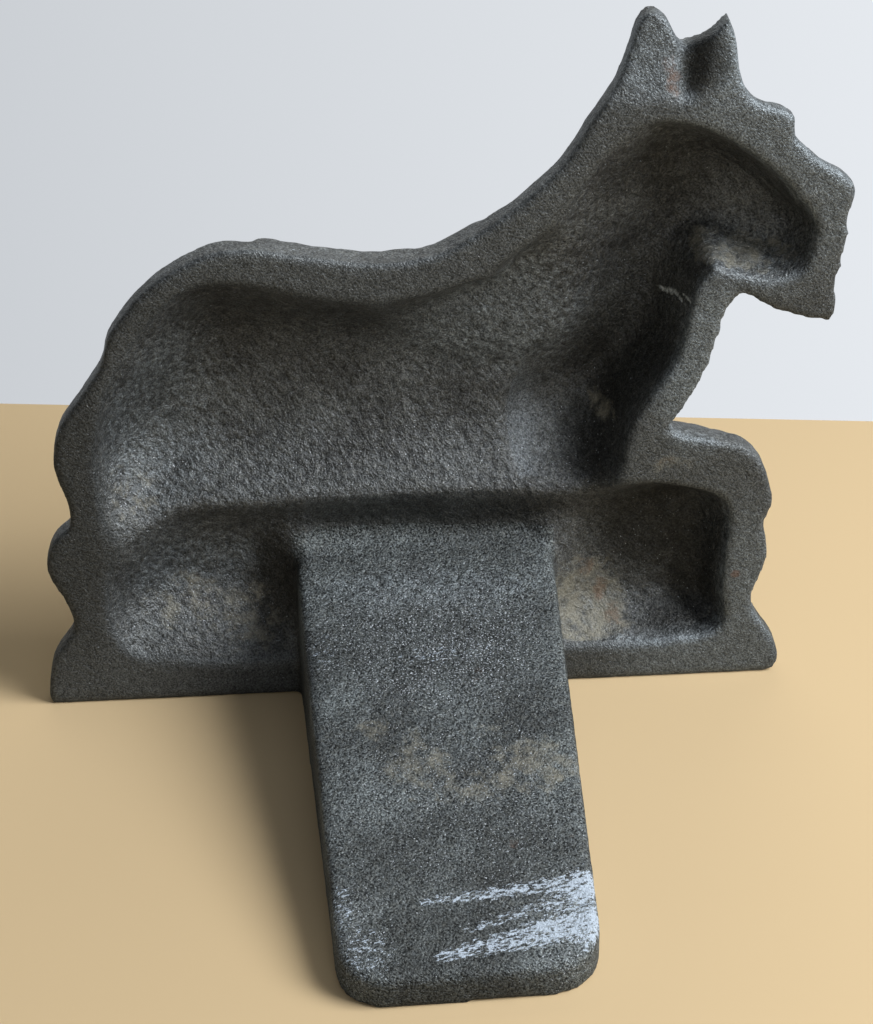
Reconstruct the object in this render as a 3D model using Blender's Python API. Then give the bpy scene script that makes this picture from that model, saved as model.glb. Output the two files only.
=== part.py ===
"""Cast iron doorstop: a terrier figure with a hollow back and a wedge tongue behind it.

Lengths are in metres. +Z is up, the decorated front faces -Y, and the tongue reaches to +Y.
The figure is a casting between two surfaces over one outline: a relief in front and hollows
behind. Both are measured from the flat rim of the back, which is the plane y = 0 of the figure.
"""
import bmesh
import bpy
import math
import numpy as np
from mathutils import Vector
from mathutils.geometry import delaunay_2d_cdt

MM = 0.001

# Fit between the two solids
FIT_GAP = 0.3 * MM

# Casting section
THINNEST_WALL = 3.0 * MM
THINNEST_SHARE = 0.45
SIDE_DEPTH = 4.0 * MM
SADDLE_SIDE_DEPTH = 5.1 * MM
NECK_SIDE_DEPTH = 3.9 * MM
BROW_SIDE_DEPTH = 2.8 * MM
EAR_SIDE_DEPTH = 4.2 * MM
EDGE_RUN = 14.0 * MM
EDGE_FALLOFF = 1.7

# Relief in front, measured from the back rim
BODY_RELIEF = 17.0 * MM
CHEST_RELIEF = 21.0 * MM
HEAD_RELIEF = 18.0 * MM
EAR_RELIEF = 7.0 * MM
PLINTH_RELIEF = 22.0 * MM
CUSHION_SWELL = 3.6 * MM
SWELL_POWER = 0.75

# Swellings of the relief: centre, half sizes and height of each
HAUNCH_X = 44.0 * MM
HAUNCH_Z = 54.0 * MM
HAUNCH_HALF_WIDTH = 21.0 * MM
HAUNCH_HALF_HEIGHT = 19.0 * MM
HAUNCH_SWELL = 3.8 * MM
FORELEG_X = -41.0 * MM
FORELEG_Z = 44.5 * MM
FORELEG_HALF_WIDTH = 20.0 * MM
FORELEG_HALF_HEIGHT = 6.5 * MM
FORELEG_SWELL = 3.4 * MM
FORELEG_LEAN_DEGREES = -4
CHEEK_X = -46.0 * MM
CHEEK_Z = 97.0 * MM
CHEEK_HALF_WIDTH = 13.0 * MM
CHEEK_HALF_HEIGHT = 12.0 * MM
CHEEK_SWELL = 1.6 * MM

# Heights of the cushion and the plinth
PLINTH_HEIGHT = 14.0 * MM
PLINTH_FACE_HEIGHT = 6.0 * MM
CUSHION_TOP = 37.0 * MM

# Depths of the hollows behind the back plane
BODY_FLOOR = 12.0 * MM
CHEST_FLOOR = 17.2 * MM
THROAT_FLOOR = 14.5 * MM
HEAD_FLOOR = 10.8 * MM
TAIL_SIDE_FLOOR = 9.4 * MM
HEAD_SIDE_FLOOR = 7.8 * MM
CREST_DEPTH = 4.6 * MM
SOLE_WALL = 7.4 * MM

# Distance over which the floor falls away from each stretch of a hollow's edge
TAIL_RUN = 19.0 * MM
BACK_RUN = 22.0 * MM
NECK_RUN = 25.0 * MM
CROWN_RUN = 12.0 * MM
MUZZLE_RUN = 7.0 * MM
CHIN_RUN = 10.0 * MM
THROAT_RUN = 7.0 * MM
FORELEG_RUN = 9.0 * MM
PAW_RUN = 6.0 * MM
SOLE_RUN = 15.0 * MM
TAIL_LOW_RUN = 17.0 * MM
RIDGE_RUN_ABOVE = 15.0 * MM
RIDGE_RUN_BELOW = 13.0 * MM
RIDGE_ROUND = 1.2 * MM
RIDGE_POWER = 2.2

# Deeper pockets behind the chest and the throat: centre and half sizes of each
CHEST_POCKET_X = -33.0 * MM
CHEST_POCKET_Z = 50.0 * MM
CHEST_POCKET_HALF_WIDTH = 20.0 * MM
CHEST_POCKET_HALF_HEIGHT = 22.0 * MM
THROAT_POCKET_X = -40.0 * MM
THROAT_POCKET_Z = 74.0 * MM
THROAT_POCKET_HALF_WIDTH = 15.0 * MM
THROAT_POCKET_HALF_HEIGHT = 26.0 * MM
THROAT_POCKET_LEAN_DEGREES = 22

# Head's floor: where it starts above the neck
HEAD_POCKET_Z = 80.0 * MM
HEAD_POCKET_RISE = 14.0 * MM
HEAD_POCKET_X = -20.0 * MM
HEAD_POCKET_REACH = 16.0 * MM

# Ramps beside the tongue's root
ROOT_SHARE = 0.5
ROOT_SHARE_BLEND = 4.0 * MM
ROOT_RAMP_TOP = 35.0 * MM
ROOT_RAMP_BLEND = 9.0 * MM
TAIL_SIDE_RAMP = 9.0 * MM
HEAD_SIDE_RAMP = 17.0 * MM
ROOT_DRAFT = 0.6 * MM
ROOT_FALL = 10.0

# Ears, which lean to the front; the far one has a facet turned to the near one
EAR_CREASE = 114.5 * MM
EAR_LEAN = 0.42
EAR_LEAN_LIMIT = 4.5 * MM
EAR_FRONT_SHARE = 0.85
FAR_EAR_X = -38.6 * MM
FAR_EAR_BLEND = 2.2 * MM
FAR_EAR_LEAN = 0.08
FACET_SLOPE = 0.8
FACET_LINE = [(-43.5, 116.0), (-47.2, 128.2)]

# Tongue
TONGUE_LENGTH = 85.2 * MM
TONGUE_ROOT_WIDTH = 46.4 * MM
TONGUE_TOE_WIDTH = 42.2 * MM
TONGUE_ROOT_X = 1.8 * MM
TONGUE_TOE_X = 0.9 * MM
TONGUE_TOE_SKEW = 1.6 * MM
TONGUE_ROOT_HEIGHT = 26.2 * MM
TONGUE_TOE_THICKNESS = 5.5 * MM
TONGUE_TOE_CORNER = 8.5 * MM
TONGUE_EDGE_ROUND = 2.0 * MM
TONGUE_ROUND_STEPS = 3
TONGUE_CORNER_STEPS = 5

# Spacing of the surface points
OUTLINE_STEP = 2.2 * MM
FILL_STEP = 3.2 * MM
EAR_FILL_STEP = 1.8 * MM
EDGE_RING = 2.6 * MM
HOLLOW_RINGS = [0.9, 2.4, 4.6]
CREST_ROWS = [-6.5, -3.0, 3.0, 6.5]

# Outline of the figure on the back plane, as smooth runs that meet in corners.
# Each run has its (x, z) points in millimetres.
OUTLINE_RUNS = [
    [(71, 0), (70.8, 3.8), (69.5, 9.6), (67.3, 13.3), (65.4, 16.4), (66.3, 21.5), (68.6, 26.5),
     (69.2, 30.6), (67.5, 35.1), (64.3, 38)],
    [(64.3, 38), (64.6, 42.5), (66.1, 47.9), (66.3, 52.6), (64.7, 58.2), (60.8, 63.8),
     (57.2, 69.4), (55.6, 74.6), (53.3, 78.4), (48.8, 83.6), (43.3, 87.5), (36.8, 90.3),
     (29.5, 90.5)],
    [(29.5, 90.5), (20.5, 88.7), (10, 87.2), (0, 88.4), (-7.4, 92.3)],
    [(-7.4, 92.3), (-14, 97.2), (-20.2, 103.2), (-23.4, 107.7), (-25.4, 111.6), (-29.4, 117.4)],
    [(-29.4, 117.4), (-31.4, 122.4), (-32.8, 126.8), (-34.9, 128.8), (-37.5, 127.3), (-40, 122.5)],
    [(-40, 122.5), (-43.9, 124.8), (-47.2, 128.2)],
    [(-47.2, 128.2), (-48.6, 124.4), (-49.3, 119.6), (-50.5, 116)],
    [(-50.5, 116), (-53.6, 113.4), (-57, 112.6), (-58.8, 110.9), (-59.4, 107.2)],
    [(-59.4, 107.2), (-63.8, 103.2), (-68.4, 100.4), (-70.3, 97.4), (-69.3, 93.1)],
    [(-69.3, 93.1), (-69.4, 88), (-68.2, 80), (-68.7, 75.6), (-67.8, 73.2)],
    [(-67.8, 73.2), (-62.8, 74.3), (-56.7, 76.6), (-53, 79.1), (-50.2, 77.2), (-48.8, 72.2),
     (-46.9, 64.8), (-43.9, 58.3), (-41, 53.6)],
    [(-41, 53.6), (-43, 51.8), (-50, 50.1), (-54.9, 48.6), (-58.1, 45.1), (-60, 39.6),
     (-60.4, 36.6), (-59.1, 32.6)],
    [(-59.1, 32.6), (-60.2, 25.4), (-58, 17.4)],
    [(-58, 17.4), (-58.2, 14.6), (-60.2, 11), (-62.5, 7.4), (-63.8, 3.4), (-63.2, 0.8),
     (-61.8, 0)],
]

# Depth of the straight side along each of these runs
OUTLINE_SIDES = [
    SIDE_DEPTH, SIDE_DEPTH, SADDLE_SIDE_DEPTH, NECK_SIDE_DEPTH, EAR_SIDE_DEPTH, EAR_SIDE_DEPTH,
    EAR_SIDE_DEPTH, BROW_SIDE_DEPTH, BROW_SIDE_DEPTH, SIDE_DEPTH, SIDE_DEPTH, SIDE_DEPTH,
    SIDE_DEPTH, SIDE_DEPTH,
]

# Edge of the hollows on the back plane, in the same form, one run for each fall. The last two
# runs meet the straight stretch above the sole wall.
HOLLOW_RUNS = [
    [(58.9, 33), (59.6, 44), (59.5, 53), (57, 64.5), (54.8, 71.2)],
    [(54.8, 71.2), (49.4, 77.2), (43.4, 83), (37.6, 84.8), (29, 83.7), (20, 81.7), (10, 81.1),
     (0, 82.8), (-8.4, 85.8)],
    [(-8.4, 85.8), (-15.6, 91.1), (-21.7, 96.9), (-26.6, 104.2), (-30.6, 109.4)],
    [(-30.6, 109.4), (-37, 111.3), (-45, 109.4), (-53.6, 104), (-61.2, 97.2)],
    [(-61.2, 97.2), (-64.2, 91.4), (-63.7, 86), (-62.4, 82.3)],
    [(-62.4, 82.3), (-57.4, 81.5), (-51.4, 82.8), (-47.3, 84)],
    [(-47.3, 84), (-44.6, 80.6), (-43.3, 73.6), (-41.6, 66.5), (-37.5, 59.6), (-34.4, 53.6),
     (-33.3, 46.6), (-33.1, 42.6)],
    [(-33.1, 42.6), (-41.6, 41.8), (-50.2, 39.2), (-53.4, 35.6)],
    [(-53.4, 35.6), (-52.7, 28), (-52.6, 19), (-53.2, 12), (-50.6, 9)],
    [(55, 9.9), (58.6, 14.8), (59.5, 22), (58.9, 33)],
]
SOLE_EDGE_HEAD_X = -45.0 * MM
SOLE_EDGE_TAIL_X = 48.0 * MM

# Run and steepness of the fall along each of these edges, with the sole's before the last
EDGE_FALLS = [
    (TAIL_RUN, 3.2), (BACK_RUN, 2.3), (NECK_RUN, 2.0), (CROWN_RUN, 3.5), (MUZZLE_RUN, 3.0),
    (CHIN_RUN, 2.0), (THROAT_RUN, 3.0), (FORELEG_RUN, 3.0), (PAW_RUN, 3.0), (SOLE_RUN, 2.2),
    (TAIL_LOW_RUN, 2.2),
]

# Ridge between the upper and the lower hollow, from the tail side to the foreleg
CREST_LINE = [(58.9, 33), (51.4, 35.6), (43, 38.6), (30, 38.9), (10, 39.7), (-10, 39.5),
              (-26, 38.9), (-33.1, 42.6)]

# Step from the body's relief to the higher one of the chest
CHEST_STEP_X = -12.0 * MM
CHEST_STEP_RUN = 9.0 * MM
CHEST_STEP_TURN_Z = 57.0 * MM
CHEST_STEP_LEAN = 0.62
CHEST_STEP_FOOT = 4.0 * MM
HEAD_FLOOR_Z = 86.0 * MM
HEAD_BLEND = 10.0 * MM
EAR_CREASE_Z = 115.0 * MM
EAR_BLEND = 5.0 * MM

# Swellings: centre, half width, half height, lean in degrees, height
SWELLINGS = [
    ((HAUNCH_X, HAUNCH_Z), HAUNCH_HALF_WIDTH, HAUNCH_HALF_HEIGHT, 0, HAUNCH_SWELL),
    ((FORELEG_X, FORELEG_Z), FORELEG_HALF_WIDTH, FORELEG_HALF_HEIGHT, FORELEG_LEAN_DEGREES,
     FORELEG_SWELL),
    ((CHEEK_X, CHEEK_Z), CHEEK_HALF_WIDTH, CHEEK_HALF_HEIGHT, 0, CHEEK_SWELL),
]


def remove_everything():
    for item in list(bpy.data.objects):
        bpy.data.objects.remove(item)


def iron_material(name, colour, roughness):
    material = bpy.data.materials.new(name)
    material.use_nodes = True
    shader = material.node_tree.nodes["Principled BSDF"]
    shader.inputs["Base Color"].default_value = (*colour, 1.0)
    shader.inputs["Metallic"].default_value = 0.6
    shader.inputs["Roughness"].default_value = roughness
    return material


def spline_point(before, start, end, after, t):
    """A point of the Catmull-Rom curve between start and end."""
    return 0.5 * (2 * start + (end - before) * t
                  + (2 * before - 5 * start + 4 * end - after) * t ** 2
                  + (3 * start - before - 3 * end + after) * t ** 3)


def smooth_run(points_mm, step):
    """Points along the smooth curve through the given ones, without the last."""
    points = np.array(points_mm) * MM
    samples = []
    last = len(points) - 1
    for index in range(last):
        start = points[index]
        end = points[index + 1]
        before = points[index - 1] if index > 0 else 2 * start - end
        after = points[index + 2] if index + 1 < last else 2 * end - start
        count = max(1, round(float(np.linalg.norm(end - start)) / step))
        for part in range(count):
            samples.append(spline_point(before, start, end, after, part / count))
    return samples


def closed_line(runs, step):
    samples = []
    for run in runs:
        samples.extend(smooth_run(run, step))
    return np.array(samples)


def segment_distance(points, line, closed=True):
    """Distance from each point to the line, and the index of its nearest stretch."""
    starts = line if closed else line[:-1]
    ends = np.roll(line, -1, axis=0) if closed else line[1:]
    along = ends - starts
    length_squared = np.maximum((along ** 2).sum(axis=1), 1e-16)
    offset = points[:, None, :] - starts[None, :, :]
    share = np.clip((offset * along).sum(axis=2) / length_squared, 0, 1)
    gap = offset - share[:, :, None] * along
    distance = np.sqrt((gap ** 2).sum(axis=2))
    return distance.min(axis=1), distance.argmin(axis=1)


def is_inside(points, line):
    """Even-odd test of each point against a closed line."""
    starts = line
    ends = np.roll(line, -1, axis=0)
    x = points[:, 0][:, None]
    z = points[:, 1][:, None]
    spans = (starts[:, 1] > z) != (ends[:, 1] > z)
    rise = np.where(ends[:, 1] == starts[:, 1], 1, ends[:, 1] - starts[:, 1])
    cross_x = starts[:, 0] + (z - starts[:, 1]) / rise * (ends[:, 0] - starts[:, 0])
    return (spans & (x < cross_x)).sum(axis=1) % 2 == 1


def ease(value):
    """Smooth step from 0 to 1 for values between 0 and 1."""
    value = np.clip(value, 0, 1)
    return value * value * (3 - 2 * value)


def outline_with_sides():
    """The figure's outline, and the straight side's depth at each of its points."""
    line = []
    sides = []
    for side, run in zip(OUTLINE_SIDES, OUTLINE_RUNS):
        samples = smooth_run(run, OUTLINE_STEP)
        line.extend(samples)
        sides.extend([side] * len(samples))
    sole_end = np.array(OUTLINE_RUNS[0][0]) * MM
    sole = smooth_run([OUTLINE_RUNS[-1][-1], OUTLINE_RUNS[0][0]], OUTLINE_STEP * 1.5)
    line.extend(sole)
    sides.extend([SIDE_DEPTH] * len(sole))
    assert np.allclose(line[0], sole_end)
    return np.array(line), np.array(sides), len(sole)


def hollow_edges():
    """The runs of the hollows' edge, with the straight stretch above the sole wall."""
    head = (SOLE_EDGE_HEAD_X / MM, SOLE_WALL / MM)
    tail = (SOLE_EDGE_TAIL_X / MM, SOLE_WALL / MM)
    runs = HOLLOW_RUNS[:-2]
    return runs + [HOLLOW_RUNS[-2] + [head], [head, tail], [tail] + HOLLOW_RUNS[-1]]


def open_line(points_mm):
    """A smooth line through the given points, with both its ends."""
    return np.array(smooth_run(points_mm, OUTLINE_STEP) + [np.array(points_mm[-1]) * MM])


def bath(distance, run, power):
    """Rise of a bath's floor from its edge: steep at first, flat at the run."""
    return 1 - (1 - np.clip(distance / run, 0, 1)) ** power


def mound(points, centre, half, lean=0.0):
    """1 at the centre of an ellipse, falling to 0 at its edge."""
    offset = points - np.array(centre)
    angle = math.radians(lean)
    across = offset[:, 0] * math.cos(angle) + offset[:, 1] * math.sin(angle)
    up = offset[:, 1] * math.cos(angle) - offset[:, 0] * math.sin(angle)
    return np.clip(1 - (across / half[0]) ** 2 - (up / half[1]) ** 2, 0, 1)


def tongue_slope():
    """Fall of the tongue's top for each metre towards the toe."""
    return (TONGUE_ROOT_HEIGHT - TONGUE_TOE_THICKNESS) / TONGUE_LENGTH


class Casting:
    """The two surfaces of the figure as functions over its outline."""

    def __init__(self):
        self.outline, self.sides, sole_count = outline_with_sides()
        self.edge_count = len(self.outline) - sole_count
        edges = hollow_edges()
        self.hollow = closed_line(edges, OUTLINE_STEP)
        self.edges = [open_line(edge) for edge in edges]
        self.crest = open_line(CREST_LINE)

    def edge_rise(self, points):
        """How far the relief has risen from the side, and the side's depth there."""
        edge = self.outline[:self.edge_count + 1]
        distance, nearest = segment_distance(points, edge, closed=False)
        rise = 1 - (1 - np.clip(distance / EDGE_RUN, 0, 1)) ** EDGE_FALLOFF
        return rise, self.sides[nearest]

    def level(self, points):
        """Relief of the plain body without its swellings."""
        x = points[:, 0]
        z = points[:, 1]
        lean = np.maximum(z - CHEST_STEP_TURN_Z, 0) * CHEST_STEP_LEAN
        chest = ease((CHEST_STEP_X - lean - x) / CHEST_STEP_RUN)
        chest = chest * ease((z - CUSHION_TOP) / CHEST_STEP_FOOT)
        head = ease((z - HEAD_FLOOR_Z) / HEAD_BLEND)
        ear = ease((z - EAR_CREASE_Z) / EAR_BLEND)
        level = BODY_RELIEF + (CHEST_RELIEF - BODY_RELIEF) * chest
        level = level + (HEAD_RELIEF - level) * head
        return level + (EAR_RELIEF - level) * ear

    def swelling(self, points):
        """Rounded forms that stand on the plain body."""
        z = points[:, 1]
        height = np.zeros(len(points))
        for centre, half_width, half_height, lean, swell in SWELLINGS:
            form = mound(points, centre, (half_width, half_height), lean)
            height = np.maximum(height, swell * form ** SWELL_POWER)
        cushion = np.clip((z - PLINTH_HEIGHT) / (CUSHION_TOP - PLINTH_HEIGHT), 0, 1)
        bulge = np.sin(math.pi * cushion) ** SWELL_POWER
        height = np.maximum(height, CUSHION_SWELL * bulge)
        ogee = ease((PLINTH_HEIGHT - z) / (PLINTH_HEIGHT - PLINTH_FACE_HEIGHT))
        return np.maximum(height, (PLINTH_RELIEF - BODY_RELIEF) * ogee)

    def front(self, points):
        """Depth of the front surface from the back plane."""
        rise, side = self.edge_rise(points)
        relief = side + (self.level(points) + self.swelling(points) - side) * rise
        return relief + EAR_FRONT_SHARE * self.ear_lean(points)

    def below_crest(self, points):
        """1 under the ridge and behind the foreleg, 0 above them."""
        x = points[:, 0]
        z = points[:, 1]
        height = np.interp(x, self.crest[::-1, 0], self.crest[::-1, 1])
        foreleg = (x < self.crest[-1, 0]) & (z < CHEST_POCKET_Z)
        return np.maximum(ease((height - z) / MM + 0.5), np.where(foreleg, 1.0, 0.0))

    def floor(self, points, below):
        """Depth of the floors far from any edge."""
        x = points[:, 0]
        z = points[:, 1]
        chest = mound(points, (CHEST_POCKET_X, CHEST_POCKET_Z),
                      (CHEST_POCKET_HALF_WIDTH, CHEST_POCKET_HALF_HEIGHT)) ** 0.75
        throat = mound(points, (THROAT_POCKET_X, THROAT_POCKET_Z),
                       (THROAT_POCKET_HALF_WIDTH, THROAT_POCKET_HALF_HEIGHT),
                       THROAT_POCKET_LEAN_DEGREES)
        head = ease((z - HEAD_POCKET_Z) / HEAD_POCKET_RISE)
        head = head * ease((HEAD_POCKET_X - x) / HEAD_POCKET_REACH)
        floor = BODY_FLOOR + (HEAD_FLOOR - BODY_FLOOR) * head
        floor = np.maximum(floor, BODY_FLOOR + (THROAT_FLOOR - BODY_FLOOR) * throat)
        floor = np.maximum(floor, BODY_FLOOR + (CHEST_FLOOR - BODY_FLOOR) * chest)
        lower = np.where(x > 0, TAIL_SIDE_FLOOR, HEAD_SIDE_FLOOR)
        return floor + (lower - floor) * below

    def root_share(self, points):
        """Share of the hollow's depth that is left beside the tongue's root."""
        offset = points[:, 0] - TONGUE_ROOT_X
        ramp = np.where(offset > 0, TAIL_SIDE_RAMP, HEAD_SIDE_RAMP)
        gap = np.abs(offset) - TONGUE_ROOT_WIDTH / 2
        filled = (1 - ROOT_SHARE) * (1 - bath(np.maximum(gap, 0), ramp, 2.0))
        filled = filled * ease(gap / ROOT_SHARE_BLEND + 1)
        return 1 - filled * ease((ROOT_RAMP_TOP - points[:, 1]) / ROOT_RAMP_BLEND)

    def root_block(self, points):
        """Depth of the tongue's top and sides where the tongue runs on into the figure."""
        gap = np.abs(points[:, 0] - TONGUE_ROOT_X) - TONGUE_ROOT_WIDTH / 2
        above = points[:, 1] - TONGUE_ROOT_HEIGHT + edge_drop(np.minimum(gap, 0))
        return np.maximum(0, np.maximum(gap * ROOT_FALL, above / tongue_slope()))

    def ear_lean(self, points):
        """How far the ears lean to the front of the back plane."""
        x = points[:, 0]
        above = np.maximum(points[:, 1] - EAR_CREASE, 0)
        near = EAR_LEAN_LIMIT * (1 - np.exp(-EAR_LEAN * above / EAR_LEAN_LIMIT))
        foot, tip = np.array(FACET_LINE) * MM
        along = (tip - foot) / np.linalg.norm(tip - foot)
        aside = (x - foot[0]) * along[1] - (points[:, 1] - foot[1]) * along[0]
        far = np.maximum(FAR_EAR_LEAN * above, FACET_SLOPE * aside)
        share = ease((FAR_EAR_X - x) / FAR_EAR_BLEND) * ease(above / (0.6 * FAR_EAR_BLEND))
        return near + (np.clip(far, 0, EAR_LEAN_LIMIT) - near) * share

    def back(self, points):
        """Depth of the back surface from the back plane, 0 on the rim."""
        below = self.below_crest(points)
        ridge, _ = segment_distance(points, self.crest, closed=False)
        ridge = np.sqrt(ridge ** 2 + RIDGE_ROUND ** 2) - RIDGE_ROUND
        run = RIDGE_RUN_ABOVE + (RIDGE_RUN_BELOW - RIDGE_RUN_ABOVE) * below
        depth = self.floor(points, below) - CREST_DEPTH
        depth = CREST_DEPTH + depth * bath(ridge, run, RIDGE_POWER)
        for line, (run, power) in zip(self.edges, EDGE_FALLS):
            gap, _ = segment_distance(points, line, closed=False)
            depth = depth * bath(gap, run, power)
        depth = depth * self.root_share(points) * is_inside(points, self.hollow)
        depth = np.minimum(depth, self.root_block(points)) + self.ear_lean(points)
        front = self.front(points)
        return np.minimum(depth, np.maximum(front - THINNEST_WALL, THINNEST_SHARE * front))


def ring_inside(line, distance, spacing):
    """Points at one distance inside a closed line, where they have room."""
    ahead = np.roll(line, -1, axis=0) - np.roll(line, 1, axis=0)
    normal = np.stack([-ahead[:, 1], ahead[:, 0]], axis=1)
    normal = normal / np.linalg.norm(normal, axis=1)[:, None]
    ring = line + normal * distance
    gap, _ = segment_distance(ring, line)
    ring = ring[(gap > 0.93 * distance) & is_inside(ring, line)]
    return thin_out(ring, spacing)


def thin_out(points, spacing):
    """The points in order, without those closer than the spacing to one before."""
    kept = []
    for point in points:
        if all(np.linalg.norm(point - other) > spacing for other in kept):
            kept.append(point)
    return np.array(kept)


def grid_points(low, high, step):
    """Rows of points, every other one shifted by half a step."""
    x = np.arange(low[0], high[0], step)
    z = np.arange(low[1], high[1], step * math.sqrt(3) / 2)
    return np.array([(a + 0.5 * step * (row % 2), b) for row, b in enumerate(z) for a in x])


def fill_points(outline, taken):
    """Points inside the outline, clear of the points taken, and closer together in the ears."""
    low = outline.min(axis=0)
    high = outline.max(axis=0)
    kept = []
    for step, foot, top in ((FILL_STEP, low[1], EAR_CREASE), (EAR_FILL_STEP, EAR_CREASE, high[1])):
        grid = grid_points((low[0], foot + 0.5 * step), (high[0], top), step)
        grid = grid[is_inside(grid, outline)]
        gap = np.linalg.norm(grid[:, None, :] - taken[None, :, :], axis=2).min(axis=1)
        edge, _ = segment_distance(grid, outline)
        kept.append(grid[(gap > 0.62 * step) & (edge > 0.5 * step)])
    return np.concatenate(kept)


def edge_drop(gap):
    """Drop of the tongue's rounded edge; the gap is 0 at its side and less than 0 inside."""
    over = np.clip(gap + TONGUE_EDGE_ROUND, 0, TONGUE_EDGE_ROUND)
    return TONGUE_EDGE_ROUND - np.sqrt(TONGUE_EDGE_ROUND ** 2 - over ** 2)


def root_arch(half, height):
    """An open line up one side of the root block, over its rounded edges and down."""
    side = []
    foot = SOLE_WALL + ROOT_DRAFT
    shoulder = height - TONGUE_EDGE_ROUND
    count = max(1, round((shoulder - foot) / FILL_STEP))
    side += [(half, foot + (shoulder - foot) * part / count) for part in range(count)]
    for step in range(TONGUE_ROUND_STEPS + 1):
        angle = math.pi / 2 * step / TONGUE_ROUND_STEPS
        side.append((half - TONGUE_EDGE_ROUND * (1 - math.cos(angle)),
                     shoulder + TONGUE_EDGE_ROUND * math.sin(angle)))
    flat = half - TONGUE_EDGE_ROUND
    count = max(1, round(2 * flat / FILL_STEP))
    across = [(flat - 2 * flat * part / count, height) for part in range(1, count)]
    points = side + across + [(-x, z) for x, z in reversed(side)]
    return np.array(points) + (TONGUE_ROOT_X, 0)


def root_lines():
    """Foot and top of the steps round the tongue's root block."""
    half = TONGUE_ROOT_WIDTH / 2
    top = TONGUE_ROOT_HEIGHT + tongue_slope() * HEAD_SIDE_FLOOR
    return root_arch(half, TONGUE_ROOT_HEIGHT), root_arch(half + ROOT_DRAFT, top)


def level_rows(outline, taken):
    """Points along the tops of plinth, cushion and chest step, clear of the points taken."""
    x = np.arange(outline[:, 0].min(), outline[:, 0].max(), 0.7 * FILL_STEP)
    levels = (PLINTH_HEIGHT, CUSHION_TOP, CUSHION_TOP + CHEST_STEP_FOOT)
    rows = np.array([(a, z) for z in levels for a in x])
    rows = rows[is_inside(rows, outline)]
    gap = np.linalg.norm(rows[:, None, :] - taken[None, :, :], axis=2).min(axis=1)
    return rows[gap > 0.35 * FILL_STEP]


def surface_layout(casting):
    """Triangles over the outline that follow the hollows' edges, the ridge and the root."""
    outline = casting.outline
    hollow = casting.hollow
    crest = casting.crest[1:-1]
    inner, outer = root_lines()
    edge_ring = ring_inside(outline, EDGE_RING, 0.6 * OUTLINE_STEP)
    hollow_gap, _ = segment_distance(edge_ring, hollow)
    edge_ring = edge_ring[hollow_gap > 0.3 * EDGE_RING]
    rings = [ring_inside(hollow, distance * MM, 0.5 * OUTLINE_STEP) for distance in HOLLOW_RINGS]
    rows = [crest + (0, row * MM) for row in CREST_ROWS]
    extra = np.concatenate(rings + rows)
    edge, _ = segment_distance(extra, hollow)
    ridge, _ = segment_distance(extra, casting.crest, closed=False)
    extra = extra[(edge > 0.7 * MM) & (ridge > 0.7 * MM) & is_inside(extra, hollow)]
    extra = thin_out(extra, 0.45 * OUTLINE_STEP)
    root, _ = segment_distance(extra, np.concatenate([inner, outer[::-1]]))
    extra = extra[root > 0.8 * MM]
    taken = np.concatenate([outline, hollow, crest, inner, outer, edge_ring, extra])
    taken = np.concatenate([taken, level_rows(outline, taken)])
    points = np.concatenate([taken, fill_points(outline, taken)])
    edges = []
    first = 0
    for line, closed in ((outline, True), (hollow, True), (crest, False), (inner, False),
                         (outer, False)):
        count = len(line)
        edges += [(first + index, first + (index + 1) % count)
                  for index in range(count if closed else count - 1)]
        first += count
    scaled = [Vector(point / MM) for point in points]
    found, _, faces, _, _, _ = delaunay_2d_cdt(scaled, edges, [], 0, 1e-5, False)
    flat = np.array([tuple(point) for point in found]) * MM
    middles = np.array([flat[list(face)].mean(axis=0) for face in faces])
    kept = is_inside(middles, outline)
    return flat, [face for face, keep in zip(faces, kept) if keep]


def dog_shell(casting):
    """The figure: back rim with its hollows, relief in front and straight sides."""
    flat, faces = surface_layout(casting)
    back = -casting.back(flat)
    front = -casting.front(flat)
    mesh = bmesh.new()
    back_verts = [mesh.verts.new((x, y, z)) for (x, z), y in zip(flat, back)]
    front_verts = [mesh.verts.new((x, y, z)) for (x, z), y in zip(flat, front)]
    for face in faces:
        mesh.faces.new([back_verts[index] for index in face])
        mesh.faces.new([front_verts[index] for index in reversed(face)])
    close_sides(mesh, faces, back_verts, front_verts)
    bmesh.ops.recalc_face_normals(mesh, faces=mesh.faces)
    return finished_object("dog_shell", mesh)


def close_sides(mesh, faces, back_verts, front_verts):
    """Quads between the two surfaces along the outline."""
    used = {}
    for face in faces:
        for start, end in zip(face, list(face[1:]) + [face[0]]):
            used[(start, end)] = True
    for start, end in used:
        if (end, start) not in used:
            mesh.faces.new([back_verts[end], back_verts[start],
                            front_verts[start], front_verts[end]])


def tongue_plan(inner_y):
    """The tongue's outline from above: straight tapering sides and round toe corners."""
    reach = TONGUE_LENGTH - inner_y
    half_root = TONGUE_ROOT_WIDTH / 2
    half_toe = TONGUE_TOE_WIDTH / 2
    side = [(half_root, inner_y)]
    corner = (half_toe - TONGUE_TOE_CORNER, TONGUE_LENGTH - TONGUE_TOE_CORNER)
    for step in range(TONGUE_CORNER_STEPS + 1):
        angle = math.pi / 2 * step / TONGUE_CORNER_STEPS
        side.append((corner[0] + TONGUE_TOE_CORNER * math.cos(angle),
                     corner[1] + TONGUE_TOE_CORNER * math.sin(angle)))
    plan = side + [(-x, y) for x, y in reversed(side)]
    placed = []
    for x, y in plan:
        along = (y - inner_y) / reach
        middle = TONGUE_ROOT_X + (TONGUE_TOE_X - TONGUE_ROOT_X) * along
        skew = TONGUE_TOE_SKEW * along * (x / TONGUE_TOE_WIDTH - 0.5)
        placed.append(Vector((middle + x, y + skew)))
    return placed


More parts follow.
